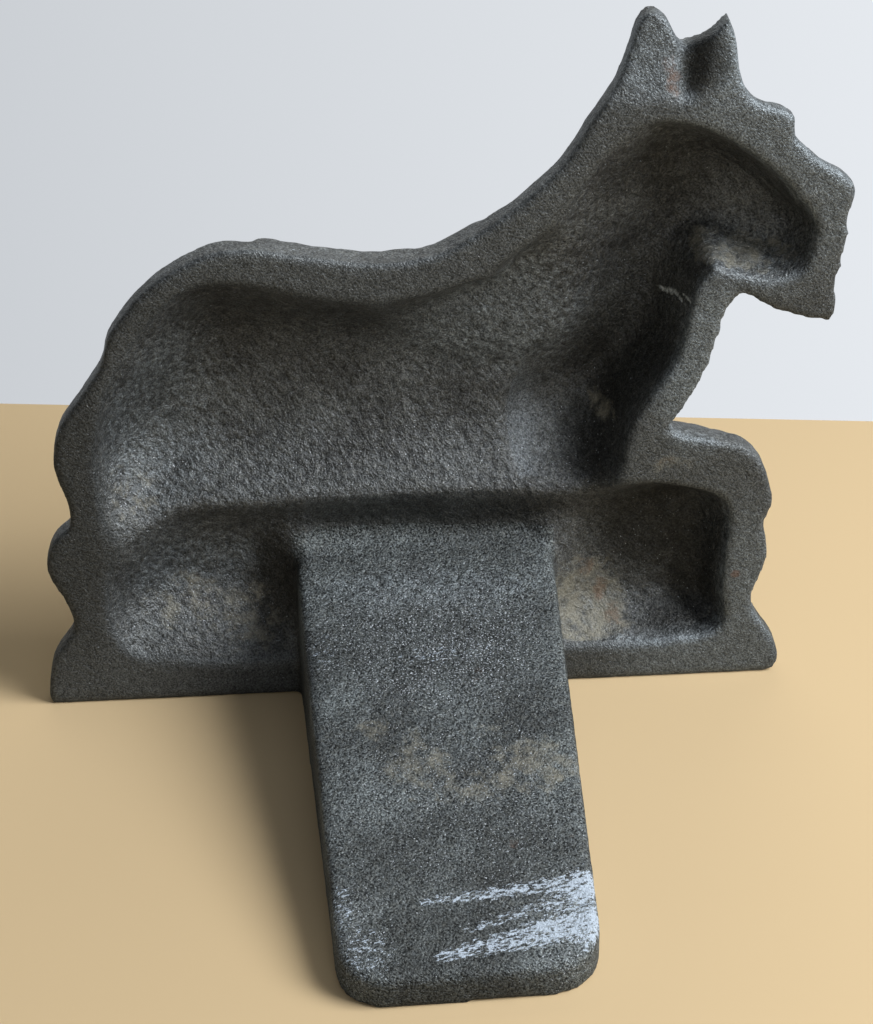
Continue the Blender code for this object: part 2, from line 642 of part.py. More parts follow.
def inset_loop(loop, distance):
    """A closed convex loop, counter-clockwise, moved inward by one distance."""
    moved = []
    for index, point in enumerate(loop):
        before = (point - loop[index - 1]).normalized()
        after = (loop[(index + 1) % len(loop)] - point).normalized()
        inward_before = Vector((-before.y, before.x))
        inward_after = Vector((-after.y, after.x))
        middle = (inward_before + inward_after).normalized()
        moved.append(point + middle * (distance / middle.dot(inward_before)))
    return moved


def wedge_tongue():
    """The tongue: level sole, sloping top with rounded edges, root face against the figure."""
    plan = tongue_plan(FIT_GAP)
    slope = tongue_slope()
    mesh = bmesh.new()
    rings = [[mesh.verts.new((point.x, point.y, 0)) for point in plan]]
    for step in range(TONGUE_ROUND_STEPS + 1):
        angle = math.pi / 2 * step / TONGUE_ROUND_STEPS
        drop = TONGUE_EDGE_ROUND * (1 - math.sin(angle))
        loop = inset_loop(plan, TONGUE_EDGE_ROUND * (1 - math.cos(angle)))
        for root in (loop[0], loop[-1]):
            root.y = FIT_GAP
        rings.append([mesh.verts.new((point.x, point.y, TONGUE_TOE_THICKNESS - drop
                                      + slope * (TONGUE_LENGTH - point.y)))
                      for point in loop])
    for lower, upper in zip(rings, rings[1:]):
        for index in range(len(plan)):
            after = (index + 1) % len(plan)
            mesh.faces.new([lower[index], lower[after], upper[after], upper[index]])
    mesh.faces.new(list(reversed(rings[0])))
    mesh.faces.new(rings[-1])
    return finished_object("wedge_tongue", mesh)


def finished_object(name, mesh):
    data = bpy.data.meshes.new(name)
    mesh.to_mesh(data)
    mesh.free()
    item = bpy.data.objects.new(name, data)
    bpy.context.scene.collection.objects.link(item)
    return item


def build():
    remove_everything()
    casting = Casting()
    shell = dog_shell(casting)
    shell.data.materials.append(iron_material("dog_iron", (0.045, 0.046, 0.046), 0.55))
    tongue = wedge_tongue()
    tongue.data.materials.append(iron_material("tongue_iron", (0.075, 0.079, 0.08), 0.5))
    middle_x = (casting.outline[:, 0].min() + casting.outline[:, 0].max()) / 2
    front = max(-vertex.co.y for vertex in shell.data.vertices)
    doorstop = bpy.data.objects.new("doorstop", None)
    bpy.context.scene.collection.objects.link(doorstop)
    doorstop.location = (-middle_x, (front - TONGUE_LENGTH) / 2, 0)
    for item in (shell, tongue):
        item.parent = doorstop
        item.data.shade_smooth()
        item.data.set_sharp_from_angle(angle=math.radians(38))


build()
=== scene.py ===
# %% [markdown]
# # A cast iron doorstop, seen from behind
#
# The doorstop is one sand casting: a terrier lying on a cushion, with a hollow back and a wedge
# tongue that a door runs onto. A founder presses a pattern into sand, so the back is a flat rim
# with hollows behind it, and the front is a relief. Here the figure is made as two surfaces over
# one outline, the tongue is added, and a voxel remesh melts them into one skin, as iron would.
# It could be sculpted by hand, but then no size of it could be named and changed.

# %% Load the frame
import bmesh
import bpy
import math
import numpy as np
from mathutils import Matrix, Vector
from mathutils.geometry import delaunay_2d_cdt


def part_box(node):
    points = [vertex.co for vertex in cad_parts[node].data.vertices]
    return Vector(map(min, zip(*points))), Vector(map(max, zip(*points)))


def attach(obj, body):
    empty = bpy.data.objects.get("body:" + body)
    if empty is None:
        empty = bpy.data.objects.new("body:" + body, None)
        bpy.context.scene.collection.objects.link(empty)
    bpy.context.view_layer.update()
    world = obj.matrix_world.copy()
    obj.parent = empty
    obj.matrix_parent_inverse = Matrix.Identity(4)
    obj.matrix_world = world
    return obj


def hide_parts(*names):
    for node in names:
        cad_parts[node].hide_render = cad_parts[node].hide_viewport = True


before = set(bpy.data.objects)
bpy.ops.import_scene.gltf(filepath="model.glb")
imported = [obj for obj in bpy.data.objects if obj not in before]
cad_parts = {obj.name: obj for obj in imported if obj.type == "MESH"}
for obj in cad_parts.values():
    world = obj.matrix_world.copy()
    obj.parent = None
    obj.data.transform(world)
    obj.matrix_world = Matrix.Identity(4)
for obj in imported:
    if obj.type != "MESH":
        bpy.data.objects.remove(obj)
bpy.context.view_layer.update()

# %% [markdown]
# ## The frame of the figure
#
# Everything on the figure is measured from its flat back rim, in millimetres: x towards the tail,
# y out of the back towards the door, z up from the floor. The frame says where that rim is.

# %% Place of the figure
MM = 0.001
TAIL_CORNER_X = 71.0
_, shell_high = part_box("dog_shell")
PLACE = np.array([shell_high.x - TAIL_CORNER_X * MM, shell_high.y, 0.0])
print("back rim at y =", round(shell_high.y, 5))

# %% [markdown]
# ## The outline
#
# The outline is a handful of points for each stretch, joined by a smooth curve, and it turns
# sharply only where two stretches meet. Each stretch also has the depth of its straight side,
# and the roughness of its edge: the coat on the head side leaves a ragged edge in the sand.
# A curve object with handles would do too. A list of points was chosen because everything below
# measures its distance to this line.

# %% Outline of the figure
SIDE = 4.0
SADDLE_SIDE = 5.1
NECK_SIDE = 3.9
EAR_SIDE = 4.2
BROW_SIDE = 2.8
SMOOTH = 0.0
RAGGED = 0.22
OUTLINE_RUNS = [
    (SIDE, SMOOTH, [(71, 0), (70.8, 3.8), (69.5, 9.6), (67.3, 13.3), (65.4, 16.4), (66.3, 21.5),
        (68.6, 26.5), (69.2, 30.6), (67.5, 35.1), (64.3, 38)]),
    (SIDE, SMOOTH, [(64.3, 38), (64.6, 42.5), (66.1, 47.9), (66.3, 52.6), (64.7, 58.2),
        (60.8, 63.8), (57.2, 69.4), (55.6, 74.6), (53.3, 78.4), (48.8, 83.6), (43.3, 87.5),
        (36.8, 90.3), (29.5, 90.5)]),
    (SADDLE_SIDE, SMOOTH, [(29.5, 90.5), (20.5, 88.7), (10, 87.2), (0, 88.4), (-7.4, 92.3)]),
    (NECK_SIDE, SMOOTH, [(-7.4, 92.3), (-14, 97.2), (-20.2, 103.2), (-23.4, 107.7),
        (-25.4, 111.6), (-29.4, 117.4)]),
    (EAR_SIDE, SMOOTH, [(-29.4, 117.4), (-31.4, 122.4), (-32.8, 126.8), (-34.9, 128.8),
        (-37.5, 127.3), (-40, 122.5)]),
    (EAR_SIDE, SMOOTH, [(-40, 122.5), (-43.9, 124.8), (-47.2, 128.2)]),
    (EAR_SIDE, SMOOTH, [(-47.2, 128.2), (-48.6, 124.4), (-49.3, 119.6), (-50.5, 116)]),
    (BROW_SIDE, RAGGED, [(-50.5, 116), (-53.6, 113.4), (-57, 112.6), (-58.8, 110.9),
        (-59.4, 107.2)]),
    (BROW_SIDE, SMOOTH, [(-59.4, 107.2), (-63.8, 103.2), (-68.4, 100.4), (-70.3, 97.4),
        (-69.3, 93.1)]),
    (SIDE, RAGGED, [(-69.3, 93.1), (-69.4, 88), (-68.2, 80), (-68.7, 75.6), (-67.8, 73.2)]),
    (SIDE, RAGGED, [(-67.8, 73.2), (-62.8, 74.3), (-56.7, 76.6), (-53, 79.1), (-50.2, 77.2),
        (-48.8, 72.2), (-46.9, 64.8), (-43.9, 58.3), (-41, 53.6)]),
    (SIDE, SMOOTH, [(-41, 53.6), (-43, 51.8), (-50, 50.1), (-54.9, 48.6), (-58.1, 45.1),
        (-60, 39.6), (-60.4, 36.6), (-59.1, 32.6)]),
    (SIDE, SMOOTH, [(-59.1, 32.6), (-60.2, 25.4), (-58, 17.4)]),
    (SIDE, SMOOTH, [(-58, 17.4), (-58.2, 14.6), (-60.2, 11), (-62.5, 7.4), (-63.8, 3.4),
        (-63.2, 0.8), (-61.8, 0)]),
]

# %% [markdown]
# A cubic curve goes through all the points of a stretch, and is read off at nearly even steps.

# %% A smooth curve through a few points
def spline_point(before, start, end, after, t):
    """A point of the smooth cubic curve between start and end."""
    return 0.5 * (2 * start + (end - before) * t
                  + (2 * before - 5 * start + 4 * end - after) * t ** 2
                  + (3 * start - before - 3 * end + after) * t ** 3)


def smooth_run(points, step):
    """Points along the smooth curve through the given ones, without the last."""
    points = np.array(points, dtype=float)
    samples = []
    last = len(points) - 1
    for index in range(last):
        start = points[index]
        end = points[index + 1]
        before = points[index - 1] if index > 0 else 2 * start - end
        after = points[index + 2] if index + 1 < last else 2 * end - start
        count = max(1, round(float(np.linalg.norm(end - start)) / step))
        samples += [spline_point(before, start, end, after, part / count)
                    for part in range(count)]
    return samples


# %% [markdown]
# The stretches are joined to one closed line. A few summed waves make the ragged ones.

# %% The outline as one closed line
OUTLINE_STEP = 0.9
RAGGED_WAVES = ((3.1, 1.0, 0.4), (1.9, 0.7, 1.9), (5.3, 0.8, 2.6))


def left_of(ways):
    """Unit vectors to the left of some directions."""
    turned = np.stack([-ways[:, 1], ways[:, 0]], axis=1)
    return turned / np.linalg.norm(turned, axis=1)[:, None]


def ragged(samples, roughness):
    """Moves the inner points of a stretch in and out by a few summed waves."""
    line = np.array(samples)
    along = np.arange(len(line)) * OUTLINE_STEP
    outward = -left_of(np.gradient(line, axis=0))
    wave = sum(height * np.sin(2 * math.pi * along / length + phase)
               for length, height, phase in RAGGED_WAVES)
    taper = np.sin(np.linspace(0, math.pi, len(line))) ** 0.5
    return line + outward * (roughness * wave * taper)[:, None]


def outline_with_sides():
    line = []
    sides = []
    for side, roughness, run in OUTLINE_RUNS:
        samples = ragged(smooth_run(run, OUTLINE_STEP), roughness)
        line.extend(samples)
        sides += [side] * len(samples)
    edge_count = len(line)
    sole = smooth_run([OUTLINE_RUNS[-1][2][-1], OUTLINE_RUNS[0][2][0]], OUTLINE_STEP)
    line.extend(sole)
    sides += [SIDE] * len(sole)
    return np.array(line), np.array(sides), edge_count


outline, outline_sides, edge_count = outline_with_sides()
print("outline points", len(outline))

# %% [markdown]
# ## The hollows
#
# Behind the dog are two hollows with a low ridge between them. Each stretch of their edge has
# its own run: the distance over which the floor falls away. A short run is a steep wall, like
# the one behind the throat, and a long run is a gentle scoop, like the one behind the neck.
# Booleans would need a solid for each hollow. A depth over the flat back was chosen instead,
# because it gives every wall a slope of its own.

# %% Edges of the hollows and the ridge
SOLE_WALL = 7.4
TAIL_RUN = 19.0
BACK_RUN = 22.0
SADDLE_RUN = 7.0
NECK_RUN = 5.0
NAPE_RUN = 22.0
CROWN_RUN = 12.0
MUZZLE_RUN = 7.0
CHIN_RUN = 3.4
THROAT_RUN = 7.0
FORELEG_RUN = 9.0
PAW_RUN = 6.0
SOLE_RUN = 15.0
PAW_SOLE_RUN = 9.0
TAIL_LOW_RUN = 17.0
HOLLOW_EDGES = [
    (TAIL_RUN, 3.2, [(58.9, 33), (59.6, 44), (59.5, 53), (57, 64.5), (54.8, 71.2)]),
    (BACK_RUN, 2.3, [(54.8, 71.2), (49.4, 77.2), (43.4, 83), (37.6, 84.8), (29, 83.7), (20, 81.2),
        (10, 80.2)]),
    (SADDLE_RUN, 2.6, [(10, 80.2), (0, 81.4), (-8.4, 84.4)]),
    (NECK_RUN, 2.0, [(-8.4, 84.4), (-15.0, 89.8), (-19.5, 94.3)]),
    (NAPE_RUN, 2.0, [(-19.5, 94.3), (-21.7, 96.9), (-26.6, 104.2), (-30.6, 109.4)]),
    (CROWN_RUN, 3.5, [(-30.6, 109.4), (-37, 111.3), (-45, 109.4), (-53.6, 104), (-61.2, 97.2)]),
    (MUZZLE_RUN, 3.0, [(-61.2, 97.2), (-64.2, 91.4), (-63.7, 86), (-62.4, 82.3)]),
    (CHIN_RUN, 1.5, [(-62.4, 82.3), (-57.4, 81.5), (-51.4, 82.8), (-47.3, 84)]),
    (THROAT_RUN, 3.0, [(-47.3, 84), (-44.6, 80.6), (-43.3, 73.6), (-41.6, 66.5), (-37.5, 59.6),
        (-34.4, 53.6), (-33.3, 46.6), (-33.1, 42.6)]),
    (FORELEG_RUN, 3.0, [(-33.1, 42.6), (-41.6, 41.8), (-50.2, 39.2), (-53.4, 35.6)]),
    (PAW_RUN, 3.0, [(-53.4, 35.6), (-52.7, 28), (-52.6, 19), (-53.2, 12), (-50.6, 9),
        (-45, SOLE_WALL)]),
    (PAW_SOLE_RUN, 2.2, [(-45, SOLE_WALL), (-12, SOLE_WALL)]),
    (SOLE_RUN, 2.2, [(-12, SOLE_WALL), (48, SOLE_WALL)]),
    (TAIL_LOW_RUN, 2.2, [(48, SOLE_WALL), (55, 9.9), (58.6, 14.8), (59.5, 22), (58.9, 33)]),
]
CREST_POINTS = [(58.9, 33), (51.4, 35.6), (43, 38.6), (30, 38.9), (10, 39.7), (-10, 39.5),
                (-26, 38.9), (-33.1, 42.6)]


def open_line(points):
    """A smooth line through the given points, with both its ends."""
    return np.array(smooth_run(points, OUTLINE_STEP) + [np.array(points[-1], dtype=float)])


hollow = np.array([point for _, _, run in HOLLOW_EDGES
                   for point in smooth_run(run, OUTLINE_STEP)])
crest = open_line(CREST_POINTS)
print("hollow points", len(hollow), "and ridge points", len(crest))

# %% [markdown]
# Two measures shape every surface: how far a point is from a line, and whether it lies inside.
# They are taken for a few thousand points at a time to save memory.

# %% Distances on the back plane
CHUNK = 3000
SHORTEST = 1e-9


def line_distance(points, line, closed=True):
    """Distance from each point to a line, and the index of its nearest stretch."""
    starts = line if closed else line[:-1]
    along = (np.roll(line, -1, axis=0) if closed else line[1:]) - starts
    length_squared = np.maximum((along ** 2).sum(axis=1), SHORTEST)
    distances = []
    nearest = []
    for first in range(0, len(points), CHUNK):
        offset = points[first:first + CHUNK, None] - starts
        share = np.clip((offset * along).sum(axis=2) / length_squared, 0, 1)
        gap = np.linalg.norm(offset - share[:, :, None] * along, axis=2)
        distances.append(gap.min(axis=1))
        nearest.append(gap.argmin(axis=1))
    return np.concatenate(distances), np.concatenate(nearest)


def is_inside(points, line):
    """Even-odd test of each point against a closed line."""
    ends = np.roll(line, -1, axis=0)
    inside = []
    for first in range(0, len(points), CHUNK):
        x, z = points[first:first + CHUNK].T[:, :, None]
        spans = (line[:, 1] > z) != (ends[:, 1] > z)
        rise = np.where(ends[:, 1] == line[:, 1], 1, ends[:, 1] - line[:, 1])
        cross_x = line[:, 0] + (z - line[:, 1]) / rise * (ends[:, 0] - line[:, 0])
        inside.append((spans & (x < cross_x)).sum(axis=1) % 2 == 1)
    return np.concatenate(inside)


def ease(value):
    """Smooth step from 0 to 1 for values between 0 and 1."""
    value = np.clip(value, 0, 1)
    return value * value * (3 - 2 * value)


def fade(value, start, reach):
    """Smooth step from 0 at the start to 1 a reach further on, both often held as a pair."""
    return ease((value - start) / reach)


def mound(points, centre, half, lean, power):
    """1 at the centre of an ellipse, falling to 0 at its edge."""
    offset = points - np.array(centre)
    angle = math.radians(lean)
    across = offset[:, 0] * math.cos(angle) + offset[:, 1] * math.sin(angle)
    up = offset[:, 1] * math.cos(angle) - offset[:, 0] * math.sin(angle)
    reach = (across / half[0]) ** 2 + (up / half[1]) ** 2
    return np.clip(1 - reach, 0, 1) ** power


# %% [markdown]
# The back's depth is a floor for each place, raised to the ridge and to each stretch of the edge
# by a curve like the wall of a bath. The curves are multiplied, so that two walls meet in a soft
# corner, as sand does when the pattern is drawn out of it.

# %% Depth of the hollows
BODY_FLOOR = 12.0
CHEST_FLOOR = 17.2
THROAT_FLOOR = 14.5
HEAD_FLOOR = 11.6
CHIN_FLOOR = 7.8
TAIL_SIDE_FLOOR = 9.4
HEAD_SIDE_FLOOR = 8.4
CREST_DEPTH = 4.6
RIDGE_RUN_ABOVE = 15.0
RIDGE_RUN_BELOW = 13.0
RIDGE_ROUND = 1.2
RIDGE_POWER = 2.2
EDGE_SOFTNESS = 0.2
SAME_EDGE = 0.01
FORELEG_HOLLOW_TOP = 50.0
CHEST_POCKET = ((-33, 50), (20, 22), 0)
CHEST_POWER = 0.72
CHEST_POWER_GAIN = 0.88
CHEST_STEP_SHARE = 0.25
CHEST_STEP_POWER = 0.3
THROAT_POCKET = ((-40, 74), (15, 26), 22)
THROAT_POWER = 1.2
NECK_SHALLOW = ((-10, 79), (23, 18), 0)
NECK_SHALLOWER_BY = 3.5
HEAD_FLOOR_Z = 98.0
CHIN_FLOOR_Z = 84.0
CHIN_MOST = 1.2
CHEST_UPPER = (54.0, 12.0)
HEAD_UP = (80.0, 14.0)
HEAD_AHEAD = (20.0, 16.0)
CHIN_AHEAD = (42.0, 10.0)


def below_crest(points):
    """1 under the ridge and behind the foreleg, 0 above them."""
    x, z = points.T
    height = np.interp(x, crest[::-1, 0], crest[::-1, 1])
    behind_foreleg = (x < CREST_POINTS[-1][0]) & (z < FORELEG_HOLLOW_TOP)
    return np.maximum(ease(height - z + 0.5), behind_foreleg)


def bath(distance, run, power):
    """Rise of a bath's floor from its edge: steep at first, flat at the run."""
    return 1 - (1 - np.clip(distance / run, 0, 1)) ** power


def floor_depth(points, below):
    """Depth of the floors far from any edge."""
    x, z = points.T
    chest = mound(points, *CHEST_POCKET, 1.0)
    upper = fade(z, *CHEST_UPPER)
    step = CHEST_STEP_SHARE * (1 - upper) * (chest ** CHEST_STEP_POWER - chest)
    chest = chest ** (CHEST_POWER + CHEST_POWER_GAIN * upper) + step
    throat = mound(points, *THROAT_POCKET, THROAT_POWER)
    head = fade(z, *HEAD_UP) * fade(-x, *HEAD_AHEAD)
    floor = BODY_FLOOR - NECK_SHALLOWER_BY * mound(points, *NECK_SHALLOW, 1.0)
    floor = floor + (HEAD_FLOOR - floor) * head
    chin = np.clip((HEAD_FLOOR_Z - z) / (HEAD_FLOOR_Z - CHIN_FLOOR_Z), 0, CHIN_MOST)
    floor = floor - (HEAD_FLOOR - CHIN_FLOOR) * chin * fade(-x, *CHIN_AHEAD)
    floor = floor + (THROAT_FLOOR - floor) * throat
    floor = floor + np.maximum(CHEST_FLOOR - floor, 0) * chest
    lower = np.where(x > 0, TAIL_SIDE_FLOOR, HEAD_SIDE_FLOOR)
    return floor + (lower - floor) * below


def back_depth(points):
    """Depth of the back surface behind the rim's plane."""
    below = below_crest(points)
    edge, _ = line_distance(points, hollow)
    inside = is_inside(points, hollow)
    depth = floor_depth(points, below)
    ridge, _ = line_distance(points, crest, closed=False)
    ridge = np.sqrt(ridge ** 2 + RIDGE_ROUND ** 2) - RIDGE_ROUND
    ridge_run = RIDGE_RUN_ABOVE + (RIDGE_RUN_BELOW - RIDGE_RUN_ABOVE) * below
    depth = CREST_DEPTH + (depth - CREST_DEPTH) * bath(ridge, ridge_run, RIDGE_POWER)
    for run, power, line in HOLLOW_EDGES:
        gap, _ = line_distance(points, open_line(line), closed=False)
        gap = np.where(inside | (gap > edge + SAME_EDGE), gap, -gap)
        depth = depth * bath((gap + np.sqrt(gap ** 2 + EDGE_SOFTNESS ** 2)) / 2, run, power)
    return depth * root_share(points) + ear_lean(points)


# %% [markdown]
# Beside the tongue the lower hollow is filled by wide ramps, and the ears lean away from the
# flat of the back: the near one is a plain tapering blade, the far one has a ridge down its
# middle with one face turned from the window.

# %% Ramps at the root and the lean of the ears
TONGUE_ROOT_X = 1.8
TONGUE_ROOT_WIDTH = 46.4
ROOT_TOP = 28.0
ROOT_SHARE = 0.5
ROOT_SEAM = 4.0
RAMP_POWER = 2.0
RAMP_RISE = 7.0
RAMP_FADE = 9.0
TAIL_SIDE_RAMP = 9.0
HEAD_SIDE_RAMP = 13.0
EAR_CREASE = 114.5
EAR_CREASE_FADE = 1.5
EAR_LEAN = 0.42
EAR_LEAN_LIMIT = 4.5
FAR_EAR_LEAN = 0.08
EAR_GAP = (38.6, 2.2)
FACET_FOOT = (-43.5, 116.0)
FACET_TIP = (-47.2, 128.2)
FACET_SLOPE = 0.8
EAR_FRONT_SHARE = 0.85


def root_share(points):
    """Share of the hollow's depth that is left near the tongue."""
    x, z = points.T
    offset = x - TONGUE_ROOT_X
    ramp = np.where(offset > 0, TAIL_SIDE_RAMP, HEAD_SIDE_RAMP)
    gap = np.abs(offset) - TONGUE_ROOT_WIDTH / 2
    filled = (1 - ROOT_SHARE) * (1 - bath(np.maximum(gap, 0), ramp, RAMP_POWER))
    filled = filled * ease((gap + ROOT_SEAM) / ROOT_SEAM)
    return 1 - filled * ease((ROOT_TOP + RAMP_RISE - z) / RAMP_FADE)


def ear_lean(points):
    """Depth added above the crease of the ears."""
    x, z = points.T
    lean = EAR_LEAN * np.maximum(z - EAR_CREASE, 0)
    near = EAR_LEAN_LIMIT * (1 - np.exp(-lean / EAR_LEAN_LIMIT))
    along = np.array(FACET_TIP) - np.array(FACET_FOOT)
    aside = ((x - FACET_FOOT[0]) * along[1] - (z - FACET_FOOT[1]) * along[0])
    facet = FACET_SLOPE * np.maximum(aside / np.linalg.norm(along), 0)
    far = np.maximum(FAR_EAR_LEAN * np.maximum(z - EAR_CREASE, 0), facet)
    share = fade(-x, *EAR_GAP) * fade(z, EAR_CREASE, EAR_CREASE_FADE)
    return near + (np.minimum(far, EAR_LEAN_LIMIT) - near) * share


# %% [markdown]
# ## The front
#
# The front is a relief. It rises from the straight side in a round, and the dog's forms stand on
# it as low mounds: haunch, shoulder, foreleg, cheek and muzzle, above a soft cushion and a
# moulded plinth. Sculpting would give finer forms. Mounds were chosen because each has a place,
# a size and a height that can be changed.

# %% Relief of the front
EDGE_RUN = 14.0
EDGE_FALLOFF = 1.7
BODY_RELIEF = 17.0
CHEST_RELIEF = 21.0
HEAD_RELIEF = 18.0
EAR_RELIEF = 7.0
PLINTH_RELIEF = 22.0
PLINTH_HEIGHT = 14.0
PLINTH_FACE = 6.0
CUSHION_TOP = 37.0
CUSHION_SWELL = 3.6
SWELL_POWER = 0.75
CHEST_STEP_X = -12.0
CHEST_STEP_RUN = 9.0
CHEST_STEP_FOOT = 4.0
CHEST_TURN_Z = 57.0
CHEST_TURN_LEAN = 0.62
HEAD_LEVEL = (86.0, 10.0)
EAR_LEVEL = (115.0, 5.0)
GROOVE_STEP = 1.0
# A swelling's centre, half sizes, lean in degrees and height, and a detail's power as well.
SWELLINGS = [
    ((44, 54), (21, 19), 0, 3.8),
    ((-41, 44.5), (20, 6.5), -4, 3.4),
    ((-46, 97), (13, 12), 0, 1.6),
]
DETAILS = [
    ((20, 41.5), (14, 4.6), 3, 2.6, 0.8),
    ((-57, 44), (3.2, 4.6), 0, 0.9, 1.0),
    ((-22, 62), (11, 17), 12, 1.3, 1.0),
    ((-62, 90), (8, 9), 20, 1.4, 1.0),
    ((-67, 97.2), (3.4, 3.0), 30, 2.2, 0.7),
    ((-55, 103.2), (4.8, 3.8), -25, -1.9, 1.0),
    ((-55, 103.0), (2.4, 2.2), 0, 2.4, 0.5),
    ((-53, 106.8), (5.2, 1.7), -28, 1.2, 0.8),
    ((-36, 120.5), (2.2, 5.4), -14, -1.7, 0.8),
    ((-46.2, 120.5), (1.7, 4.8), -22, -1.5, 0.8),
    ((60, 46), (4.2, 8.5), 12, 1.6, 0.8),
]
# A groove's line, depth and width.
GROOVES = [
    ([(-69, 88.5), (-63, 87), (-57, 88.6), (-54, 91.5)], 1.4, 1.2),
    ([(-59.5, 41.5), (-56.5, 41.8), (-54.5, 42.6)], 0.5, 0.8),
    ([(-59, 45.2), (-56.3, 44.9), (-54.4, 45)], 0.5, 0.8),
    ([(30, 43.6), (27, 41.6), (22, 41)], 0.5, 0.9),
    ([(27, 71), (22, 60), (24, 49), (31, 41)], 0.9, 1.6),
    ([(-9, 72), (-14, 62), (-15, 52), (-22, 47), (-38, 49.5)], 0.9, 1.5),
]


def relief_level(points):
    x, z = points.T
    lean = np.maximum(z - CHEST_TURN_Z, 0) * CHEST_TURN_LEAN
    chest = ease((CHEST_STEP_X - lean - x) / CHEST_STEP_RUN)
    chest = chest * fade(z, CUSHION_TOP, CHEST_STEP_FOOT)
    head = fade(z, *HEAD_LEVEL)
    ear = fade(z, *EAR_LEVEL)
    level = BODY_RELIEF + (CHEST_RELIEF - BODY_RELIEF) * chest
    level = level + (HEAD_RELIEF - level) * head
    return level + (EAR_RELIEF - level) * ear


def front_forms(points):
    """Height of the mounds and grooves that stand on the plain relief."""
    z = points[:, 1]
    height = np.zeros(len(points))
    for centre, half, lean, swell in SWELLINGS:
        height = np.maximum(height, swell * mound(points, centre, half, lean, SWELL_POWER))
    cushion = np.clip((z - PLINTH_HEIGHT) / (CUSHION_TOP - PLINTH_HEIGHT), 0, 1)
    height = np.maximum(height, CUSHION_SWELL * np.sin(math.pi * cushion) ** SWELL_POWER)
    ogee = ease((PLINTH_HEIGHT - z) / (PLINTH_HEIGHT - PLINTH_FACE))
    height = np.maximum(height, (PLINTH_RELIEF - BODY_RELIEF) * ogee)
    for centre, half, lean, swell, power in DETAILS:
        height = height + swell * mound(points, centre, half, lean, power)
    for run, depth, width in GROOVES:
        line = np.array(smooth_run(run, GROOVE_STEP) + [np.array(run[-1])])
        gap, _ = line_distance(points, line, closed=False)
        height = height - depth * np.exp(-(gap / width) ** 2)
    return height


def front_depth(points):
    """Depth of the front surface behind the rim's plane."""
    distance, nearest = line_distance(points, outline[:edge_count + 1], closed=False)
    side = outline_sides[nearest]
    rise = 1 - (1 - np.clip(distance / EDGE_RUN, 0, 1)) ** EDGE_FALLOFF
    relief = side + (relief_level(points) + front_forms(points) - side) * rise
    return relief + EAR_FRONT_SHARE * ear_lean(points)


# %% [markdown]
# ## One layout for both surfaces
#
# The same triangles serve front and back, so the wall of the casting can't cross itself. A plain
# grid would leave steps along the outline. So the lines are kept as edges of a triangulation,
# and points crowd beside them, where the surfaces turn quickly.

# %% Layout of the surface points
GRID_STEP = 1.2
EAR_GRID_STEP = 0.6
EAR_GRID_FOOT = 112.0
OUTLINE_RINGS = (0.5, 1.2, 2.2)
HOLLOW_RINGS = (-0.9, -0.35, 0.3, 0.8, 1.5, 2.4)
RING_ROOM = 0.9
GRID_MARGIN = 0.5
SAME_POINT = 1e-4


def ring(line, distance):
    """Points at one distance inside a counter-clockwise line, where they have room."""
    inward = left_of(np.roll(line, -1, axis=0) - np.roll(line, 1, axis=0))
    points = line + inward * distance
    gap, _ = line_distance(points, line)
    return points[(gap > RING_ROOM * abs(distance)) & is_inside(points, outline)]


def triangular_grid(low, high, step):
    """Rows of points, every other one shifted by half a step."""
    x = np.arange(low[0], high[0], step)
    z = np.arange(low[1], high[1], step * math.sqrt(3) / 2)
    return np.array([(a + 0.5 * step * (row % 2), b) for row, b in enumerate(z) for a in x])


def grid_points():
    low = outline.min(axis=0)
    high = outline.max(axis=0)
    body = triangular_grid(low, (high[0], EAR_GRID_FOOT), GRID_STEP)
    ears = triangular_grid((low[0], EAR_GRID_FOOT), high, EAR_GRID_STEP)
    grid = np.concatenate([body, ears])
    grid = grid[is_inside(grid, outline)]
    edge, _ = line_distance(grid, outline)
    rim, _ = line_distance(grid, hollow)
    clear = (edge > OUTLINE_RINGS[-1] + GRID_MARGIN) & (rim > HOLLOW_RINGS[-1] + GRID_MARGIN)
    return grid[clear]


def layout():
    rings = [ring(outline, distance) for distance in OUTLINE_RINGS]
    rings += [ring(hollow, distance) for distance in HOLLOW_RINGS]
    points = np.concatenate([outline, hollow, *rings, grid_points()])
    count = len(outline)
    edges = [(index, (index + 1) % count) for index in range(count)]
    edges += [(count + index, count + (index + 1) % len(hollow)) for index in range(len(hollow))]
    found, _, faces, *_ = delaunay_2d_cdt([Vector(p) for p in points], edges, [], 0,
                                          SAME_POINT, False)
    flat = np.array([tuple(point) for point in found])
    middles = np.array([flat[list(face)].mean(axis=0) for face in faces])
    inside = is_inside(middles, outline)
    return flat, [face for face, keep in zip(faces, inside) if keep]


flat, layout_faces = layout()
print("layout", len(flat), "points,", len(layout_faces), "triangles")

# %% [markdown]
# Every layout point now stands twice, on the back and on the front, and the outline's edges
# carry the side between the two.

# %% Two surfaces and the side between them
THINNEST_WALL = 3.0
THINNEST_SHARE = 0.45


def placed(points):
    """Points of the figure, in millimetres, as places in the scene."""
    return np.asarray(points, dtype=float) * MM + PLACE


def open_edges(faces):
    """Directed edges used by one face only."""
    used = set()
    for face in faces:
        used.update(zip(face, list(face[1:]) + [face[0]]))
    return [edge for edge in used if (edge[1], edge[0]) not in used]


def new_object(name, data):
    item = bpy.data.objects.new(name, data)
    bpy.context.scene.collection.objects.link(item)
    return item


def mesh_object(name, verts, faces):
    data = bpy.data.meshes.new(name)
    data.from_pydata([tuple(v) for v in verts], [], faces)
    data.validate()
    return new_object(name, data)


